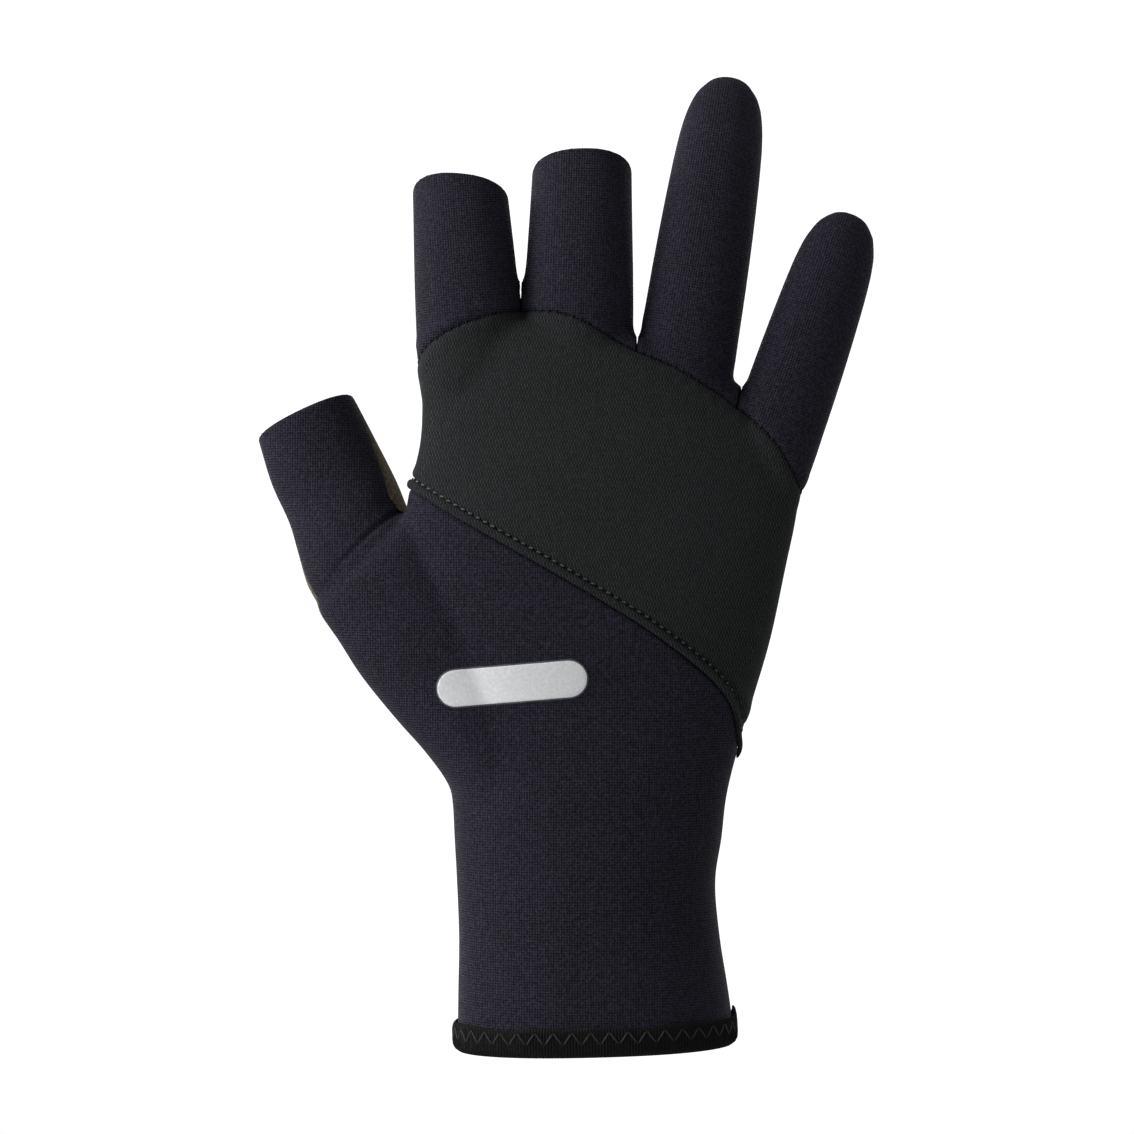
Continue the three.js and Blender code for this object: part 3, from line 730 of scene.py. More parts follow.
def cloth_material(name, dark, lit, wale, course, rise, roughness, sheen, lean=0, speckle=0.5, loopy=0.5,
                   stagger=math.pi):
    """Cloth from dark to lit: columns of loops wale apart and course high, in millimetres, turned by lean. A column
    has two ridges, the legs of its loops. The second is shifted by stagger; without it the grid is straight, and each
    ridge is a column of its own. Speckle is the fibres' share in the colour. The less loopy the cloth is, the more
    its ridges show as ribs."""
    material = bpy.data.materials.new(name)
    material.use_nodes = True
    tree = material.node_tree
    shader = tree.nodes["Principled BSDF"]
    for socket, value in (("Roughness", roughness), ("Specular IOR Level", CLOTH_SPECULAR), ("Sheen Weight", sheen),
                          ("Sheen Roughness", SHEEN_ROUGHNESS), ("Sheen Tint", linear(lit))):
        shader.inputs[socket].default_value = value
    place = node(tree, "ShaderNodeTexCoord")
    turned = node(tree, "ShaderNodeMapping", [(0, place.outputs["Object"]), (2, (0, math.radians(-lean), 0)),
                                              (3, (1 / MM, 1 / MM, 1 / MM))])
    axes = node(tree, "ShaderNodeSeparateXYZ", [(0, turned)])
    surface = node(tree, "ShaderNodeNewGeometry")
    facing = node(tree, "ShaderNodeSeparateXYZ", [(0, surface.outputs["Normal"])])

    # Cloth that faces sideways takes its columns from Y, so that they don't smear there
    facing_x = node(tree, "ShaderNodeMath", [(0, facing.outputs[0])], operation="ABSOLUTE")
    facing_y = node(tree, "ShaderNodeMath", [(0, facing.outputs[1])], operation="ABSOLUTE")
    sideways = node(tree, "ShaderNodeMath", [(0, facing_x), (1, facing_y)], operation="GREATER_THAN")
    frontal = node(tree, "ShaderNodeMath", [(0, 1.0), (1, sideways)], operation="SUBTRACT")
    from_y = node(tree, "ShaderNodeMath", [(0, axes.outputs[1]), (1, sideways)], operation="MULTIPLY")
    from_x = node(tree, "ShaderNodeMath", [(0, axes.outputs[0]), (1, frontal)], operation="MULTIPLY")
    across = node(tree, "ShaderNodeMath", [(0, from_y), (1, from_x)], operation="ADD")

    # Loops: upright ridges, each broken up by rows
    phase = node(tree, "ShaderNodeMath", [(0, across), (1, 2 * math.pi / wale)], operation="MULTIPLY")
    columns = node(tree, "ShaderNodeMath", [(0, phase)], operation="SINE")
    second = node(tree, "ShaderNodeMath", [(0, columns), (1, 0.0)], operation="GREATER_THAN")
    shift = node(tree, "ShaderNodeMath", [(0, second), (1, stagger)], operation="MULTIPLY")
    climb = node(tree, "ShaderNodeMath", [(0, axes.outputs[2]), (1, 2 * math.pi / course)], operation="MULTIPLY")
    shifted = node(tree, "ShaderNodeMath", [(0, climb), (1, shift)], operation="ADD")
    rows = node(tree, "ShaderNodeMath", [(0, shifted)], operation="SINE")
    broken = node(tree, "ShaderNodeMath", [(0, rows), (1, loopy)], operation="MULTIPLY")
    filled = node(tree, "ShaderNodeMath", [(0, broken), (1, 1 - loopy)], operation="ADD")
    ridges = node(tree, "ShaderNodeMath", [(0, columns)], operation="ABSOLUTE")
    loops = node(tree, "ShaderNodeMath", [(0, ridges), (1, filled)], operation="MULTIPLY")

    # Colour: a painted highlight on the loops' tops and painted shade between them, lighter on single fibres,
    # a little uneven from place to place
    fibres = node(tree, "ShaderNodeTexNoise", [("Vector", place.outputs["Object"]), ("Scale", FIBRE_SCALE),
                                               ("Detail", FIBRE_DETAIL)])
    dye = node(tree, "ShaderNodeTexNoise", [("Vector", place.outputs["Object"]), ("Scale", DYE_SCALE)])
    flecks = node(tree, "ShaderNodeMapRange", [(0, fibres.outputs["Fac"]), (1, FIBRE_RANGE[0]), (2, FIBRE_RANGE[1])])
    tops = node(tree, "ShaderNodeMath", [(0, loops), (1, LOOP_SHARPNESS)], operation="POWER")
    knit = node(tree, "ShaderNodeMath", [(0, tops), (1, 1 - speckle)], operation="MULTIPLY")
    fuzz = node(tree, "ShaderNodeMath", [(0, flecks), (1, speckle)], operation="MULTIPLY")
    even = node(tree, "ShaderNodeMath", [(0, knit), (1, fuzz)], operation="ADD")
    middle = node(tree, "ShaderNodeMath", [(0, dye.outputs["Fac"]), (1, 0.5)], operation="SUBTRACT")
    tint = node(tree, "ShaderNodeMath", [(0, middle), (1, DYE_STRENGTH)], operation="MULTIPLY")
    shade = node(tree, "ShaderNodeMath", [(0, even), (1, tint)], operation="ADD")
    colour = node(tree, "ShaderNodeMix", [("Factor", shade), (6, linear(dark)), (7, linear(lit))], data_type="RGBA")
    tree.links.new(colour.outputs[2], shader.inputs["Base Color"])

    # Relief: the loops and the fibres on them
    nap = node(tree, "ShaderNodeMath", [(0, fibres.outputs["Fac"]), (1, FIBRE_RISE)], operation="MULTIPLY")
    height = node(tree, "ShaderNodeMath", [(0, loops), (1, nap)], operation="ADD")
    bump = node(tree, "ShaderNodeBump", [("Height", height), ("Strength", BUMP_STRENGTH), ("Distance", rise * MM)])
    tree.links.new(bump.outputs[0], shader.inputs["Normal"])
    return material


# Nylon jersey, knitted fine and laminated on foam rubber: matt, almost black navy, with a straight grid of loops
# whose tops carry a painted highlight. Real loops are about 0.5 mm apart, which is too fine for the render: 0.65 mm
# here.
def navy_jersey(name, lean=0):
    return cloth_material(name, "#08070B", "#4A475F", wale=1.3, course=0.65, rise=0.3, roughness=0.85, sheen=0.07,
                          lean=lean, speckle=0.42, stagger=0.0)


# Nylon jersey knitted in fine ribs on the same foam: greenish charcoal with faint upright lines, partly relief and
# partly a painted highlight on the ribs' tops, and no gloss. Its real columns are about 0.5 mm apart, and are drawn
# 0.74 mm apart, with two ribs each.
charcoal_rib = cloth_material("charcoal_jersey", "#060606", "#505456", wale=0.74, course=1.8, rise=0.3,
                              roughness=0.9, sheen=0.08, lean=2, speckle=0.2, loopy=0.3)

# Synthetic suede, microfibre that is brushed: dull brown-grey with a mottled nap half a millimetre fine, which
# lightens a little where it turns away.
suede = cloth_material("synthetic_suede", "#554C42", "#8B806F", wale=0.5, course=0.5, rise=0.1, roughness=1.0,
                       sheen=0.3, speckle=0.9)

# Knitted polyester lining: soft black without gloss, with loops of 1.1 mm. It shows only inside the openings.
lining = cloth_material("knitted_lining", "#0B0B0C", "#1E1E20", wale=1.1, course=1.1, rise=0.2, roughness=1.0,
                        sheen=0.1)

# Spun polyester thread, twisted every 0.3 mm: a little smoother than the cloth. It is black in the arched seam. In
# the diagonal seam it is painted grey as a highlight on its top, and on the tape painted dark grey for the same
# highlight.
def thread_material(name, dark, lit):
    return cloth_material(name, dark, lit, wale=0.3, course=0.3, rise=0.05, roughness=0.6, sheen=0.0)


thread = thread_material("polyester_thread_black", "#0C0C0D", "#1E1E20")
thread_painted_highlight = thread_material("polyester_thread_grey", "#5A5D5B", "#8C908E")
tape_thread_painted_lit = thread_material("polyester_thread_tape", "#2C2B2A", "#4A4846")


# Knitted nylon binding tape: warm black and matt, with upright ribs 0.75 mm apart.
tape = cloth_material("knitted_tape", "#060505", "#2E2C2B", wale=RIB, course=1.5, rise=0.3, roughness=0.9,
                      sheen=0.05, speckle=0.3, loopy=0.2)

# Heat transfer: a white film of fine glass beads, smooth and satin, on a clear carrier that shows as a thin grey rim.
transfer_edge = cloth_material("transfer_film", "#4C4C50", "#68686C", wale=0.4, course=0.4, rise=0.02,
                               roughness=0.4, sheen=0.0)
transfer = cloth_material("reflective_transfer", "#E6E8EA", "#FAFBFC", wale=0.4, course=0.4, rise=0.03,
                          roughness=0.5, sheen=0.0, speckle=0.9)


skin = whole_skin()
skin_normals = surface_of(skin)
palm_half = palm_side()
above_diagonal = above("above_diagonal", seam_line(DIAGONAL_SEAM, SEAM_GAP / 2))
palm_field = keep(above_diagonal, right_of("field_edge", seam_line(THUMB_DIVIDE, -SEAM_GAP / 2)))
above_knuckles = above("above_knuckles", seam_line(KNUCKLE_SEAM, SEAM_GAP / 2))
above_wrist = above("above_wrist", seam_line(PALM_WRIST_SEAM, SEAM_GAP / 2))
back = cut(copy_of(skin, "back"), palm_half)


# Relief on the cloth, in millimetres: how high, how far to the left of a seam's way, and how wide
Bump = namedtuple("Bump", "high at wide")
STITCH_ROW = 2.5
STITCH_DIP = Bump(0.4, STITCH_ROW, 0.55)
STITCH_PULL = 0.3
STITCH_SWELL = Bump(0.3, STITCH_ROW + 1.9, 1.2)
STITCH_FINE = 1.5
ARCH_SWELL = Bump(0.22, 2.2, 1.2)
ARCH_PUCKER = 0.08
CREASE_FOLD = Bump(0.6, 3.5, 3)
CREASE_FOLD_FAR = 14
CREASE_GROOVE = Bump(-1.1, 0, 0.8)
CREASE_DIP = Bump(-0.5, -3, 2.6)
CREASE_LENGTH = 30
CREASE_FINE = 1.8
CREASE_SIDE = 12
CREASE_FACING = 2


def bell(distance, at, wide):
    return np.exp(-((distance - at) / wide) ** 2)


def raised(distance, bump):
    return bump.high * bell(distance, bump.at, bump.wide)


def wave(along, length):
    return np.cos(2 * math.pi * along / length)


def beside_arch(points, side):
    """The swelling on one side of the arched seam, puckered at every second stitch."""
    distance, along = near_line(points, seam_line(KNUCKLE_SEAM))
    pucker = ARCH_SWELL.high + ARCH_PUCKER * wave(along, 2 * STITCH)
    return bell(distance, side * ARCH_SWELL.at, ARCH_SWELL.wide) * pucker


def knuckle_relief(points, normals):
    """Dips along the stitches of the folded edge, and swellings beside them and below the arched seam."""
    distance, along = near_line(points, seam_line(DIAGONAL_SEAM))
    pull = STITCH_DIP.high + STITCH_PULL * wave(along, STITCH)
    dip = bell(distance, STITCH_DIP.at, STITCH_DIP.wide) * pull
    return raised(distance, STITCH_SWELL) + beside_arch(points, -1) - dip


def beside_diagonal(points):
    distance, _ = near_line(points, seam_line(DIAGONAL_SEAM))
    return np.abs(distance) < STITCH_ROW + STITCH_FINE


def hand_relief(points, normals):
    """The crease at the thumb's root: a fold on the hand's side and a groove, on the back of the hand alone."""
    distance, along = near_line(points, seam_line(THUMB_CREASE))
    outer = np.clip(-normals[:, 1] * CREASE_FACING, 0, 1) * np.clip(1 - along / CREASE_LENGTH, 0, 1)
    wide = np.where(distance < CREASE_FOLD.at, CREASE_FOLD.wide, CREASE_FOLD_FAR)
    fold = CREASE_FOLD.high * bell(distance, CREASE_FOLD.at, wide)
    return outer * (fold + raised(distance, CREASE_GROOVE) + raised(distance, CREASE_DIP))


def beside_crease(points):
    distance, along = near_line(points, seam_line(THUMB_CREASE))
    return (np.abs(distance) < CREASE_FINE) & (along < CREASE_LENGTH) & (points[:, 1] < CREASE_SIDE)


def finger_relief(points, normals):
    return beside_arch(points, 1)


def seam_path(sheet, shares):
    """The sheet's edge along a seam, from left to right."""
    mesh = bmesh.new()
    mesh.from_mesh(sheet.data)
    rim = list({v for e in mesh.edges if e.is_boundary for v in e.verts})
    distance, _ = near_line(np.array([v.co for v in rim]) / MM, seam_line(shares, SEAM_GAP / 2))
    on = {v for v, d in zip(rim, distance) if abs(d) < ON_SEAM}
    following = {v: [e.other_vert(v) for e in v.link_edges if e.is_boundary and e.other_vert(v) in on] for v in on}
    here = min((v for v in on if len(following[v]) == 1), key=lambda v: v.co.x)
    walked = [here]
    while True:
        ahead = [v for v in following[walked[-1]] if v not in walked[-2:]]
        if not ahead or len(walked) > len(on):
            break
        walked.append(ahead[0])
    path = np.array([v.co for v in walked]) / MM
    mesh.free()
    return path


def resampled(path, step, passes=4):
    run = np.concatenate([[0], np.cumsum(np.linalg.norm(np.diff(path, axis=0), axis=1))])
    at = np.linspace(0, run[-1], max(2, round(run[-1] / step) + 1))
    rows = np.stack([np.interp(at, run, path[:, k]) for k in range(3)], 1)
    for _ in range(passes):
        rows[1:-1] = (rows[:-2] + 2 * rows[1:-1] + rows[2:]) / 4
    return rows


def path_frames(path):
    """Way, upward and outward directions along a path on the skin."""
    ways = np.gradient(path, axis=0)
    ways /= np.linalg.norm(ways, axis=1)[:, None]
    outs = skin_normals(path)
    ups = np.cross(outs, ways)
    ups /= np.linalg.norm(ups, axis=1)[:, None]
    return ways, ups, np.cross(ways, ups)


def thread_row(name, places, ways, outs, length, width):
    """Short stitches of thread, all in one piece: one is modelled and copied."""
    nothing_selected()
    bpy.ops.mesh.primitive_uv_sphere_add(segments=THREAD_SIDES, ring_count=THREAD_RINGS, radius=0.5)
    one = bpy.context.object
    bpy.ops.object.shade_smooth()
    shape = vertices_of(one) * MM
    stitches = []
    for i, (place, way, out) in enumerate(zip(places, ways, outs)):
        stitch = copy_of(one, name + "_" + str(i))
        side = np.cross(out, way)
        size = length[i] if np.ndim(length) else length
        turned = shape[:, :1] * way * size + shape[:, 1:2] * side * width + shape[:, 2:] * out * width
        move_vertices(stitch, place + turned)
        stitches.append(stitch)
    remove(one)
    return joined(name, stitches)


knuckle_panel = open_sheet(cut(keep(copy_of(back, "knuckle_cloth"), palm_field), above_knuckles))
diagonal_path = resampled(seam_path(knuckle_panel, DIAGONAL_SEAM), SEAM_STEP)
arch_path = resampled(seam_path(knuckle_panel, KNUCKLE_SEAM), SEAM_STEP)
cloth(knuckle_panel, [charcoal_rib, lining], relief=knuckle_relief, fine=beside_diagonal)
hand_in(knuckle_panel, "charcoal_cloth", "knuckle_panel")

hem_at, hem_down = hem_plane(BINDING_CLOTH + SEAM_GAP)
hem_rim = (hem_at, hem_down, BEYOND)


def digit_rim(rings):
    """The plane of a cut digit's rim, and how far from its middle a cut there reaches."""
    middle, _, _, ahead = ring_frame(rings[-1])
    return middle, ahead, RIM_REACH


palm_upper = keep(copy_of(palm_half, "palm_upper"), above_wrist)
hand_panel = open_sheet(cut(cut(copy_of(skin, "hand_cloth"), palm_field), palm_upper))
trim(hand_panel, *digit_rim(THUMB))
trim(hand_panel, hem_at, hem_down)
cloth(hand_panel, [navy_jersey("navy_jersey_hand"), lining], [hem_rim, digit_rim(THUMB)], hand_relief,
      fine=beside_crease)
hand_in(hand_panel, "navy_cloth", "hand_panel", "cuff_sleeve", "thumb_back")

palm_rims = [digit_rim(rings) for rings in (THUMB, DIGITS["index"], DIGITS["middle"])]
palm_panel = open_sheet(keep(keep(copy_of(skin, "palm_cloth"), palm_half), above_wrist))
for rim in palm_rims:
    trim(palm_panel, *rim)
cloth(palm_panel, [suede, lining], palm_rims, reach=1.0)
hand_in(palm_panel, "suede", "palm_panel", "thumb_front", *[f.name + "_front" for f in FINGERS])

finger_backs = keep(keep(copy_of(back, "finger_backs"), above_knuckles), bpy.data.objects["field_edge"])
for i, finger in enumerate(FINGERS):
    piece = copy_of(finger_backs, finger.name + "_cloth")
    if i < len(WEBS):
        cut(piece, right_of(finger.name + "_right", web_line(WEBS[i], -SEAM_GAP / 2)))
    if i > 0:
        keep(piece, right_of(finger.name + "_left", web_line(WEBS[i - 1], SEAM_GAP / 2)))
    open_sheet(piece)
    rims = [digit_rim(DIGITS[finger.name])] if finger.is_open else []
    for rim in rims:
        trim(piece, *rim)
    cloth(piece, [navy_jersey("navy_jersey_" + finger.name, finger.lean), lining], rims, finger_relief)
    hand_in(piece, "navy_cloth", finger.name + "_back")

# The folded edge of the knuckle panel: a flat roll of cloth along the diagonal seam, from its nub to its tail. Its
# rows give the middle's distance above the seam, half its width and its height, at shares of its length.
BAND_LIFT = 0.2
NUB_LENGTH = 1.3
TAIL_LENGTH = 4
THINNEST = 0.002
TAIL = [(0.2, 0.8, -0.8), (0, 1.6, -2), (-0.6, 2.2, -3.4)]
TAIL_FROM = 0.5
Band = namedtuple("Band", "share middle half high")
BAND = [
    Band(0, 1.15, 1.25, 0.95),
    Band(0.1, 1.1, 1.15, 0.85),
    Band(0.6, 1.05, 1.05, 0.8),
    Band(0.85, 0.9, 0.85, 0.7),
    Band(1, 0.8, 0.75, 0.65),
]


def band_rings(path, sides=BAND_SIDES):
    ways, ups, outs = path_frames(path)
    run = np.concatenate([[0], np.cumsum(np.linalg.norm(np.diff(path, axis=0), axis=1))])
    shares = run / run[-1]
    middle, half, high = (np.interp(shares, [b.share for b in BAND], [b[k] for b in BAND]) for k in (1, 2, 3))
    nub = np.sqrt(np.clip(1 - (1 - run / NUB_LENGTH).clip(0) ** 2, THINNEST, 1))
    tail = np.sqrt(np.clip(1 - (1 - (run[-1] - run) / TAIL_LENGTH).clip(0) ** 2, THINNEST, 1))
    size = nub * tail
    turns = np.arange(sides) * 2 * math.pi / sides
    rings = []
    for i in range(len(path)):
        flat = (middle[i] + half[i] * size[i] * np.cos(turns))[:, None] * ups[i]
        proud = (BAND_LIFT + high[i] * size[i] * np.sin(turns))[:, None] * outs[i]
        rings.append(path[i] + flat + proud)
    return rings


seam_end = diagonal_path[:len(diagonal_path) - np.argmax(diagonal_path[::-1, 1] < TAIL_FROM)]
tail_points = seam_end[-1] + np.array(TAIL)
band_path = resampled(np.vstack([seam_end, tail_points]), SEAM_STEP, passes=8)
folded_edge = tube("folded_edge_roll", band_rings(band_path))
folded_edge.data.materials.append(charcoal_rib)
bpy.ops.object.shade_smooth()
hand_in(folded_edge, "charcoal_cloth", "folded_edge")


def along_path(path, start, end, step):
    """Places a step apart along a path, between two shares of its length."""
    rows = resampled(path, FINE_STEP, passes=0)
    first, last = int(start * (len(rows) - 1)), int(end * (len(rows) - 1))
    index = np.arange(first, last, round(step / FINE_STEP))
    ways, ups, outs = path_frames(rows[index])
    return rows[index], ways, ups, outs


# The row of stitches above the folded edge: slanted, sunk into the cloth and shorter towards the tail. Their lengths
# are given at shares of the row.
THREAD = 0.5
TOP_SLANT = 0.25
TOP_SUNK = 0.12
TOP_ENDS = (0.03, 0.84)
TOP_LENGTHS = ([0, 0.6, 1], [1.35, 1.3, 0.8])

places, ways, ups, outs = along_path(diagonal_path, *TOP_ENDS, STITCH)
slanted = ways + TOP_SLANT * ups
slanted /= np.linalg.norm(slanted, axis=1)[:, None]
lengths = np.interp(np.arange(len(places)) / len(places), *TOP_LENGTHS)
top_stitch = thread_row("top_stitch", places + STITCH_ROW * ups - TOP_SUNK * outs, slanted, outs, lengths, THREAD)
# Black thread, painted grey as a highlight on its top
top_stitch.data.materials.append(thread_painted_highlight)
hand_in(top_stitch, "charcoal_cloth")

# The stitches across the arched seam, deep in it
ARCH_THREAD = 0.42
ARCH_LENGTH = 1.5
ARCH_LOW = 0.2
ARCH_SUNK = 0.16
ARCH_ENDS = (0.02, 0.98)

places, ways, ups, outs = along_path(arch_path, *ARCH_ENDS, STITCH)
arch_stitch = thread_row("arch_stitch", places - ARCH_LOW * ups - ARCH_SUNK * outs, ups, outs, ARCH_LENGTH,
                         ARCH_THREAD)
arch_stitch.data.materials.append(thread)
hand_in(arch_stitch, "navy_cloth")


# The tape round the hem: a ribbed U, with a zigzag of thread under its upper edge. Each row of its profile gives its
# height above the hem, how far out from the skin it lies, and how much of the ribs shows in it.
HemRow = namedtuple("HemRow", "height out rib")
HEM_PROFILE = [
    HemRow(5.2, -WALL - 0.3, 0), HemRow(5.7, -WALL - 0.6, 0), HemRow(5.4, -WALL - 1.1, 0.3),
    HemRow(3.2, -WALL - 1.3, 1), HemRow(1.2, -WALL - 1.2, 1), HemRow(0, -WALL - 0.7, 1),
    HemRow(-0.7, -WALL / 2, 0.7), HemRow(-0.6, -0.3, 1), HemRow(0.1, 0.65, 1), HemRow(1, 1.1, 1),
    HemRow(2.4, 1.2, 1), HemRow(4, 1.1, 1), HemRow(5.4, 0.95, 1), HemRow(6.2, 0.7, 0.8), HemRow(6.6, 0.3, 0.3),
    HemRow(6.4, 0.02, 0), HemRow(4, 0.15, 0), HemRow(1, 0.15, 0), HemRow(0.6, -WALL / 2, 0),
    HemRow(1, -WALL - 0.2, 0), HemRow(4, -WALL - 0.2, 0),
]
RIB_HEIGHT = 0.17
TAPE_CORNER = 1.9
TAPE_CORNER_WIDTH = 2.2
TAPE_WAVE_FROM = 2
TAPE_WAVE_RISE = 4.6
Swing = namedtuple("Swing", "high length start")
TAPE_WAVES = (Swing(0.25, 5.2, 0), Swing(0.2, 2.9, 1))
TAPE_SWAY = Swing(0.12, 3.7, 0)
HEM_LEVEL = 3
HEM_RAYS = 720
HEM_SMOOTHING = 12


def hem_outline(height):
    """The skin's outline in the hem's plane at a height, with its outward directions, evenly spaced."""
    tree = BVHTree.FromObject(skin, bpy.context.evaluated_depsgraph_get())
    slope = math.radians(HEM_SLOPE)
    found = []
    for turn in np.arange(HEM_RAYS) * 2 * math.pi / HEM_RAYS:
        way = Vector((math.cos(turn) * math.cos(slope), math.sin(turn), math.cos(turn) * math.sin(slope)))
        found.append(tree.ray_cast(Vector((0, 0, height * MM)), way)[0] / MM)
    loop = np.array(found + found[:1])
    run = np.concatenate([[0], np.cumsum(np.linalg.norm(np.diff(loop, axis=0), axis=1))])
    ribs = round(run[-1] / RIB)
    at = np.arange(4 * ribs) * run[-1] / (4 * ribs)
    points = np.stack([np.interp(at, run, loop[:, k]) for k in range(3)], 1)
    for _ in range(HEM_SMOOTHING):
        points = (np.roll(points, 1, 0) + 2 * points + np.roll(points, -1, 0)) / 4
    way = np.roll(points, -1, 0) - np.roll(points, 1, 0)
    out = np.cross(way, [-math.sin(slope), 0, math.cos(slope)])
    return points, out / np.linalg.norm(out, axis=1)[:, None], at


hem_points, hem_outs, hem_run = hem_outline(HEM_LEVEL)
hem_up = np.array([-math.sin(math.radians(HEM_SLOPE)), 0, math.cos(math.radians(HEM_SLOPE))])
rib_wave = np.cos(np.arange(len(hem_points)) * math.pi / 2)
right_most = hem_run[np.argmax(hem_points[:, 0])]
from_right = np.minimum(np.abs(hem_run - right_most), hem_run[-1] - np.abs(hem_run - right_most))


def round_hem(swing):
    return swing.high * np.sin(hem_run / swing.length + swing.start)


edge_wave = sum(round_hem(swing) for swing in TAPE_WAVES) + TAPE_CORNER * bell(from_right, 0, TAPE_CORNER_WIDTH)


def hem_point_ring(row):
    """The tape's points at one row of its profile. The nearer its upper edge, the more it waves."""
    upper = max(0, (row.height - TAPE_WAVE_FROM) / TAPE_WAVE_RISE)
    out = row.out + RIB_HEIGHT * row.rib * rib_wave + upper * round_hem(TAPE_SWAY)
    return hem_points + (row.height - HEM_LEVEL + upper * edge_wave)[:, None] * hem_up + out[:, None] * hem_outs


# A tube through the whole profile, whose two caps are taken out where its ends meet
binding = tube("hem_tape", [hem_point_ring(row) for row in HEM_PROFILE + HEM_PROFILE[:1]])
edit_faces(binding, lambda face: len(face.verts) > 4)
bpy.ops.mesh.delete(type="FACE")
select_all_points()
bpy.ops.mesh.remove_doubles(threshold=TOUCHING * MM)
bpy.ops.mesh.normals_make_consistent(inside=False)
bpy.ops.object.mode_set(mode="OBJECT")
binding.data.materials.append(tape)
bpy.ops.object.shade_smooth()
hand_in(binding, "binding_tape", "cuff_binding")

# The zigzag's corners lie in turn low and high on the tape
ZIGZAG_LOW, ZIGZAG_HIGH = 2.6, 5.7
ZIGZAG_OUT = 1.15
ZIGZAG_OVERLAP = 1.05

zigzag_step = round(ZIGZAG / 2 / (RIB / 4))
corners = np.arange(0, len(hem_points) - zigzag_step, zigzag_step)
heights = np.where(np.arange(len(corners)) % 2, ZIGZAG_LOW, ZIGZAG_HIGH)
ends = hem_points[corners] + (heights - HEM_LEVEL)[:, None] * hem_up + ZIGZAG_OUT * hem_outs[corners]
ends = np.vstack([ends, ends[:1]])
spans = np.diff(ends, axis=0)
lengths = np.linalg.norm(spans, axis=1)
zigzag = thread_row("hem_zigzag", (ends[:-1] + ends[1:]) / 2, spans / lengths[:, None], hem_outs[corners],
                    lengths * ZIGZAG_OVERLAP, THREAD)
# Black thread, painted dark grey as a highlight on its top
zigzag.data.materials.append(tape_thread_painted_lit)
hand_in(zigzag, "binding_tape")


# The plain reflective bar, and the thin dark film that shows round it
def bar_outline(margin):
    length, end, turn = PATCH_LENGTH / 2, PATCH_HEIGHT / 2, math.radians(PATCH_TURN)
    right = [(length - end + (end + margin) * math.cos(a), (end + margin) * math.sin(a))
             for a in np.linspace(-math.pi / 2, math.pi / 2, BAR_END_POINTS)]
    around = right + [(-x, -z) for x, z in right]
    return [(palm_x(PATCH_PLACE[0]) + x * math.cos(turn) - z * math.sin(turn),
             palm_z(PATCH_PLACE[1]) + x * math.sin(turn) + z * math.cos(turn)) for x, z in around]


def layer(name, outline, look, lift, thickness):
    """A thin film on the back of the hand, over an outline in the XZ plane."""
    piece = open_sheet(keep(copy_of(back, name), across_glove(name + "_cut", outline)), LAYER_MERGE)
    return cloth(piece, [look, look], relief=lambda points, normals: np.full(len(points), lift),
                 thickness=thickness, roll=LAYER_ROLL)


patch = layer("reflective_bar", bar_outline(margin=0), transfer, lift=0.35, thickness=0.4)
hand_in(patch, "reflective", "reflective_patch")
film = layer("reflective_film", bar_outline(margin=0.4), transfer_edge, lift=0.2, thickness=0.3)
hand_in(film, "reflective")

# The skin and the cutting shapes have done their work
remove(*[o for o in bpy.data.objects if o.type == "MESH" and (o == skin or cut_mark in list(o.data.materials))])

# Camera, light and backdrop
CAMERA_AT = (-0.00725, -1.0, 0.119)
FRAME_WIDTH = 0.2835
SENSOR = 36

bpy.ops.object.camera_add(location=CAMERA_AT, rotation=(math.pi / 2, 0, 0))
camera = bpy.context.object
camera.data.sensor_width = SENSOR
camera.data.lens = SENSOR * -CAMERA_AT[1] / FRAME_WIDTH
camera.data.clip_end = 20
bpy.context.scene.camera = camera


def area_light(name, place, target, size, power):
    bpy.ops.object.light_add(type="AREA", location=place)
    light = bpy.context.object
    light.name = name
    light.data.size = size
    light.data.energy = power
    light.rotation_euler = (Vector(target) - Vector(place)).to_track_quat("-Z", "Y").to_euler()
    return light


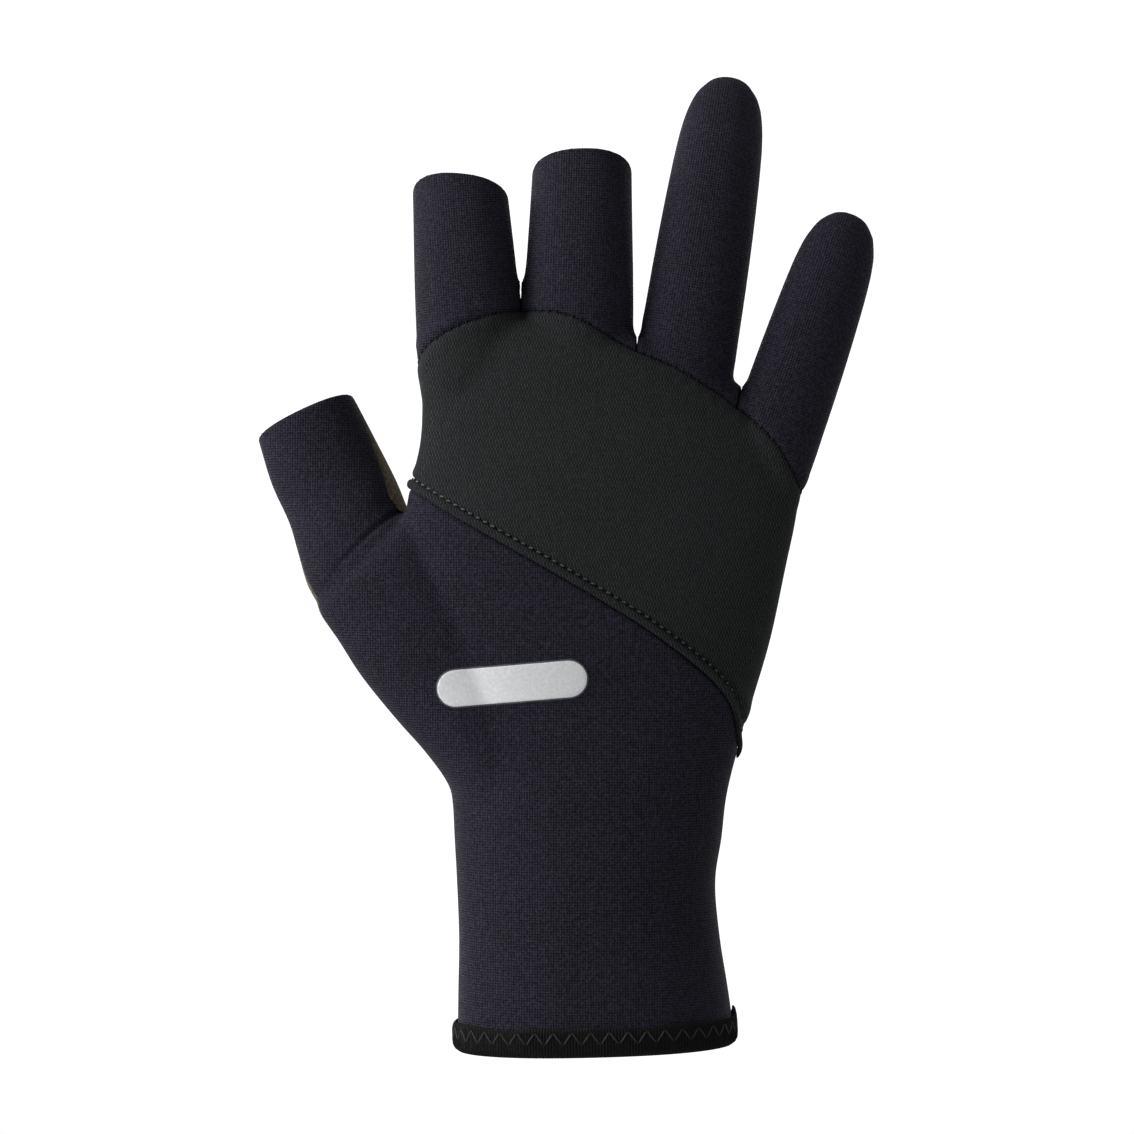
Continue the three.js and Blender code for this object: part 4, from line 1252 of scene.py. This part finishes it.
GLOVE_AT = (-0.01, 0, 0.12)
area_light("key_left", (-1.05, -0.6, 0.12), GLOVE_AT, size=0.5, power=6.6)
area_light("high_left", (-1.05, 0, 0.72), GLOVE_AT, size=0.5, power=10)
area_light("behind_left", (-0.6, 1.0, 0), GLOVE_AT, size=0.4, power=2)
area_light("behind_right", (0.6, 1.0, 0.2), GLOVE_AT, size=0.4, power=1)

# A tent of white paper: a round floor below the glove that curves up into a wall, with a ceiling. It glows faintly all
# over, as paper lit from outside does, and fully behind the glove, where it is the photograph's white.
TENT_FLOOR = -160
TENT_RADIUS = 2000
TENT_BEND = 500
TENT_TOP = 2200
TENT_SIDES = 96
TENT_BEND_POINTS = 13
TENT_SHARPEST_EDGE = 30
TENT_GLOW = 0.31
BACK_GLOW = 1.15
BACK_RADII = (0.95, 1.5)


def tent_ring(radius, height):
    turns = np.arange(TENT_SIDES) * 2 * math.pi / TENT_SIDES
    return [(radius * math.cos(t), radius * math.sin(t), height) for t in turns]


bend = [(TENT_RADIUS - TENT_BEND * (1 - math.sin(t)), TENT_FLOOR + TENT_BEND * (1 - math.cos(t)))
        for t in np.linspace(0, math.pi / 2, TENT_BEND_POINTS)]
tent = tube("paper_tent", [tent_ring(*place) for place in bend + [(TENT_RADIUS, TENT_TOP)]])
bpy.ops.object.shade_smooth_by_angle(angle=math.radians(TENT_SHARPEST_EDGE))

# Thin white paper, lit from outside: no shine and no grain, only a glow.
white_paper = bpy.data.materials.new("white_paper")
white_paper.use_nodes = True
tree = white_paper.node_tree
place = node(tree, "ShaderNodeTexCoord")
behind_glove = (GLOVE_AT[0], TENT_RADIUS * MM, GLOVE_AT[2])
away = node(tree, "ShaderNodeVectorMath", [(0, place.outputs["Object"]), (1, behind_glove)], operation="DISTANCE")
glow = node(tree, "ShaderNodeMapRange", [(0, away.outputs["Value"]), (1, BACK_RADII[0]), (2, BACK_RADII[1]),
                                         (3, BACK_GLOW), (4, TENT_GLOW)], interpolation_type="SMOOTHSTEP")
lamp = node(tree, "ShaderNodeEmission", [(0, (1, 1, 1, 1)), (1, glow)])
tree.links.new(lamp.outputs[0], tree.nodes["Material Output"].inputs[0])
tent.data.materials.append(white_paper)

# Colours go to the picture as they are, so that white paper is white
bpy.context.scene.view_settings.view_transform = "Standard"
